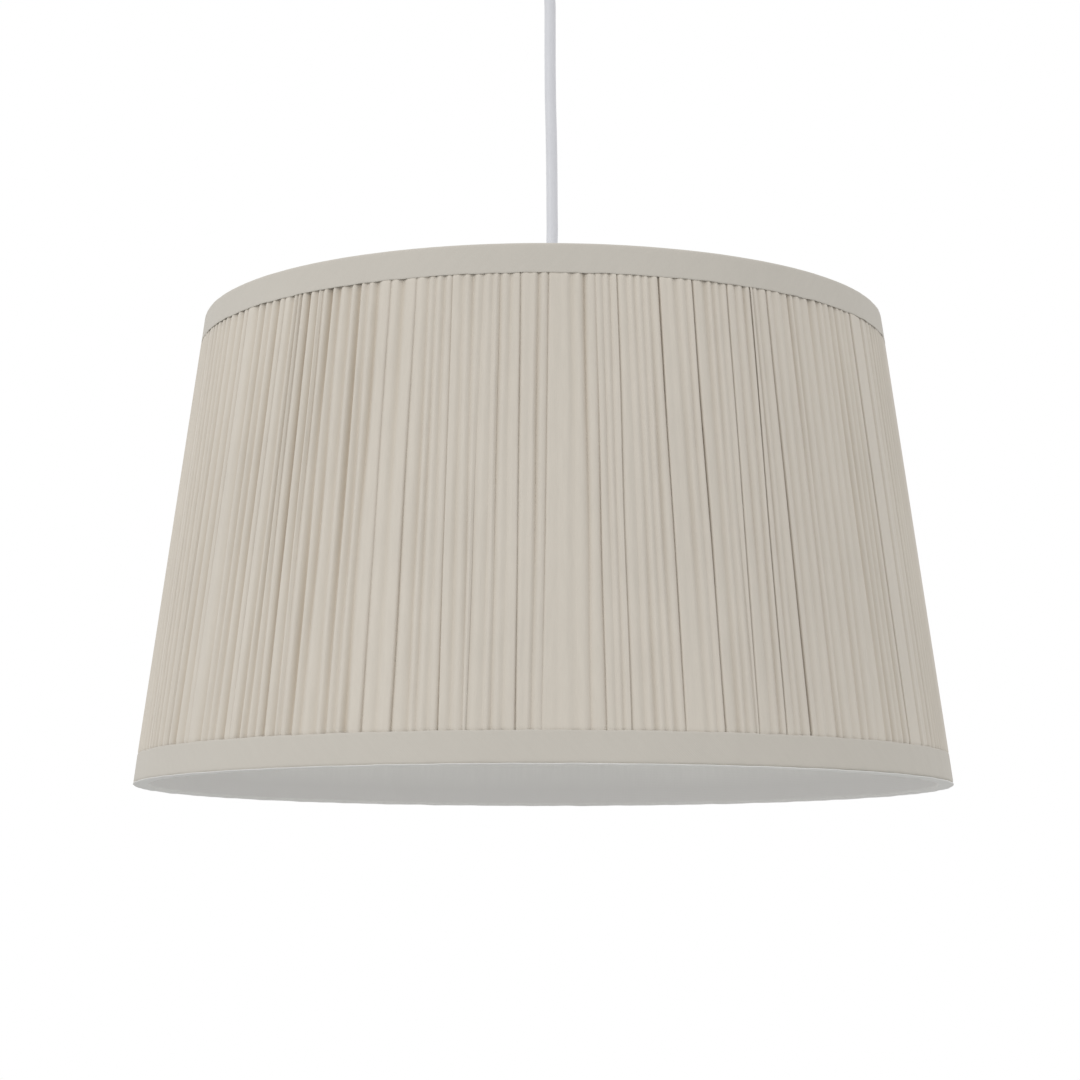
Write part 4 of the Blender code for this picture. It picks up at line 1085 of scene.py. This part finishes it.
class SHADE_OT_rose(bpy.types.Operator):
    """Make the ceiling rose's cover: a fluted rim, an elliptical dome, and a nose with a flared mouth"""

    bl_idname = "shade.rose"
    bl_label = "Ceiling rose"

    def execute(self, context):
        mouth, rim, outer = span("rose_cover")
        wall, neck, throat, lip, dome_height = 2 * MM, 11 * MM, 3.2 * MM, 7.16 * MM, 15 * MM
        inner, shoulder, pivot = outer - wall, rim - 15.5 * MM, mouth + 5 * MM
        floor = pivot + wall
        dome = ellipse_quarter((neck, shoulder), (outer - neck, -dome_height), 25, 90, 0)
        hollow = ellipse_quarter((throat, shoulder), (inner - throat, floor - shoulder), 25, 0, 90)
        corners = [
            (inner, shoulder, 0), *sharp(hollow), (throat, floor, 0.3), (throat, pivot + 0.87 * MM, 0.6),
            (lip, mouth, 0.5), (neck - 1 * MM, mouth, 0.9), (neck, shoulder - dome_height, 1.5), *sharp(dome),
            (outer, shoulder, 0), (outer, rim, 0.6), (inner, rim, 0.4),
        ]
        flutes = grip(shoulder + 1 * MM, rim - 1.5 * MM, outer - 1 * MM, 72, 0.45 * MM, fade=1.6 * MM)
        cover = turned("rose_cup_cover", finer(rounded(corners), 1.0 * MM), columns=432, ripple=flutes)
        place(cover, finish("moulded urea resin"), "rose_cup", "white_moulding", "rose_cover")
        return {"FINISHED"}


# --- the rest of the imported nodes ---

NODE_FINISHES = {
    "moulded urea resin": ["rose_base", "rose_terminal_block", "contact_block"],
    "turned brass": [
        "rose_terminal_live", "rose_terminal_neutral", "rose_screw_live", "rose_screw_neutral",
        "terminal_live", "terminal_neutral", "terminal_screw_live", "terminal_screw_neutral",
    ],
    "extruded white PVC": ["flex_head", "flex_tail"],
    "brown core PVC": ["rose_core_live", "core_live"],
    "blue core PVC": ["rose_core_neutral", "core_neutral"],
}


class SHADE_OT_finishes(bpy.types.Operator):
    """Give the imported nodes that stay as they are, inside the rose and the lampholder, their real finishes"""

    bl_idname = "shade.finishes"
    bl_label = "Finishes of the wiring"

    def execute(self, context):
        for name, nodes in NODE_FINISHES.items():
            for node in nodes:
                for material_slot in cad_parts[node].material_slots:
                    material_slot.material = finish(name)
        return {"FINISHED"}


# --- stage ---


class SHADE_OT_stage(bpy.types.Operator):
    """Make the studio: the camera, a white surround, a pale floor and one large soft light on the left"""

    bl_idname = "shade.stage"
    bl_label = "Studio"

    def execute(self, context):
        scene = context.scene
        studio = scene.pendant_studio
        lens = bpy.data.cameras.new("camera")
        lens.lens = studio.lens
        lens.sensor_width = 36
        lens.clip_end = 50
        camera = bpy.data.objects.new("camera", lens)
        camera.location = (0, -studio.camera_distance, studio.camera_height)
        camera.rotation_euler = (math.pi / 2 + studio.camera_pitch, 0, studio.camera_yaw)
        scene.collection.objects.link(camera)
        scene.camera = camera
        scene.view_settings.view_transform = "Standard"
        world = bpy.data.worlds.new("white surround")
        world.use_nodes = True
        white = world.node_tree.nodes["Background"]
        connect(world.node_tree, white, {"Color": (1, 1, 1, 1), "Strength": 1.0})
        scene.world = world
        radius = np.array([0.0, 0.3, 1.0])[:, None] * studio.floor_radius
        ground = around(radius, full_turn(96), SHADE_BOTTOM - studio.floor_drop)
        floor = grid_piece("studio_floor", ground, wrap_columns=True, poles=True)
        floor.data.materials.append(floor_finish(studio.floor_colour))
        key = bpy.data.lights.new("key light", "AREA")
        key.energy = studio.key_power
        key.shape = "RECTANGLE"
        key.size, key.size_y = 1.6, 1.8
        lamp = bpy.data.objects.new("key light", key)
        lamp.location = (-1.9, -1.9, 0.35)
        aim = Vector((0, 0, (SHADE_TOP + SHADE_BOTTOM) / 2)) - lamp.location
        lamp.rotation_euler = aim.to_track_quat("-Z", "Y").to_euler()
        scene.collection.objects.link(lamp)
        return {"FINISHED"}


def floor_finish(colour):
    """Matt studio paper: a pale grey with faint clouding."""
    material, tree, shader, spot = new_material("studio paper")
    cloud = add(tree, "TexNoise", "Fac", {"Vector": spot, "Scale": 3.0, "Detail": 2.0})
    light, dark = times(colour, 1), times(colour, 0.97)
    base = add(tree, "Mix", MIXED, {0: cloud, 6: light, 7: dark}, data_type="RGBA")
    connect(tree, shader, {"Base Color": base, "Roughness": 0.95, "Specular IOR Level": 0.1})
    return material


# --- panel and registration ---

OPERATORS = (
    SHADE_OT_stage, SHADE_OT_flex, SHADE_OT_cover, SHADE_OT_lining, SHADE_OT_bands, SHADE_OT_wire_frame,
    SHADE_OT_lampholder, SHADE_OT_clamp, SHADE_OT_rose, SHADE_OT_finishes,
)


class SHADE_PT_panel(bpy.types.Panel):
    """The shade's settings and the button for each of its pieces"""

    bl_idname = "SHADE_PT_panel"
    bl_label = "Gathered Pendant Shade"
    bl_space_type = "VIEW_3D"
    bl_region_type = "UI"
    bl_category = "Shade"

    def draw(self, context):
        for group in (context.scene.pendant_shade, context.scene.pendant_studio):
            box = self.layout.box()
            for name in group.__annotations__:
                box.prop(group, name)
        for operator in OPERATORS:
            self.layout.operator(operator.bl_idname)


CLASSES = (PendantShadeSettings, PendantStudioSettings, *OPERATORS, SHADE_PT_panel)


def register():
    for kind in CLASSES:
        bpy.utils.register_class(kind)
    bpy.types.Scene.pendant_shade = PointerProperty(type=PendantShadeSettings)
    bpy.types.Scene.pendant_studio = PointerProperty(type=PendantStudioSettings)


def unregister():
    del bpy.types.Scene.pendant_studio
    del bpy.types.Scene.pendant_shade
    for kind in reversed(CLASSES):
        bpy.utils.unregister_class(kind)


def main():
    register()
    for operator in OPERATORS:
        group, name = operator.bl_idname.split(".")
        getattr(getattr(bpy.ops, group), name)()


if __name__ == "__main__":
    main()
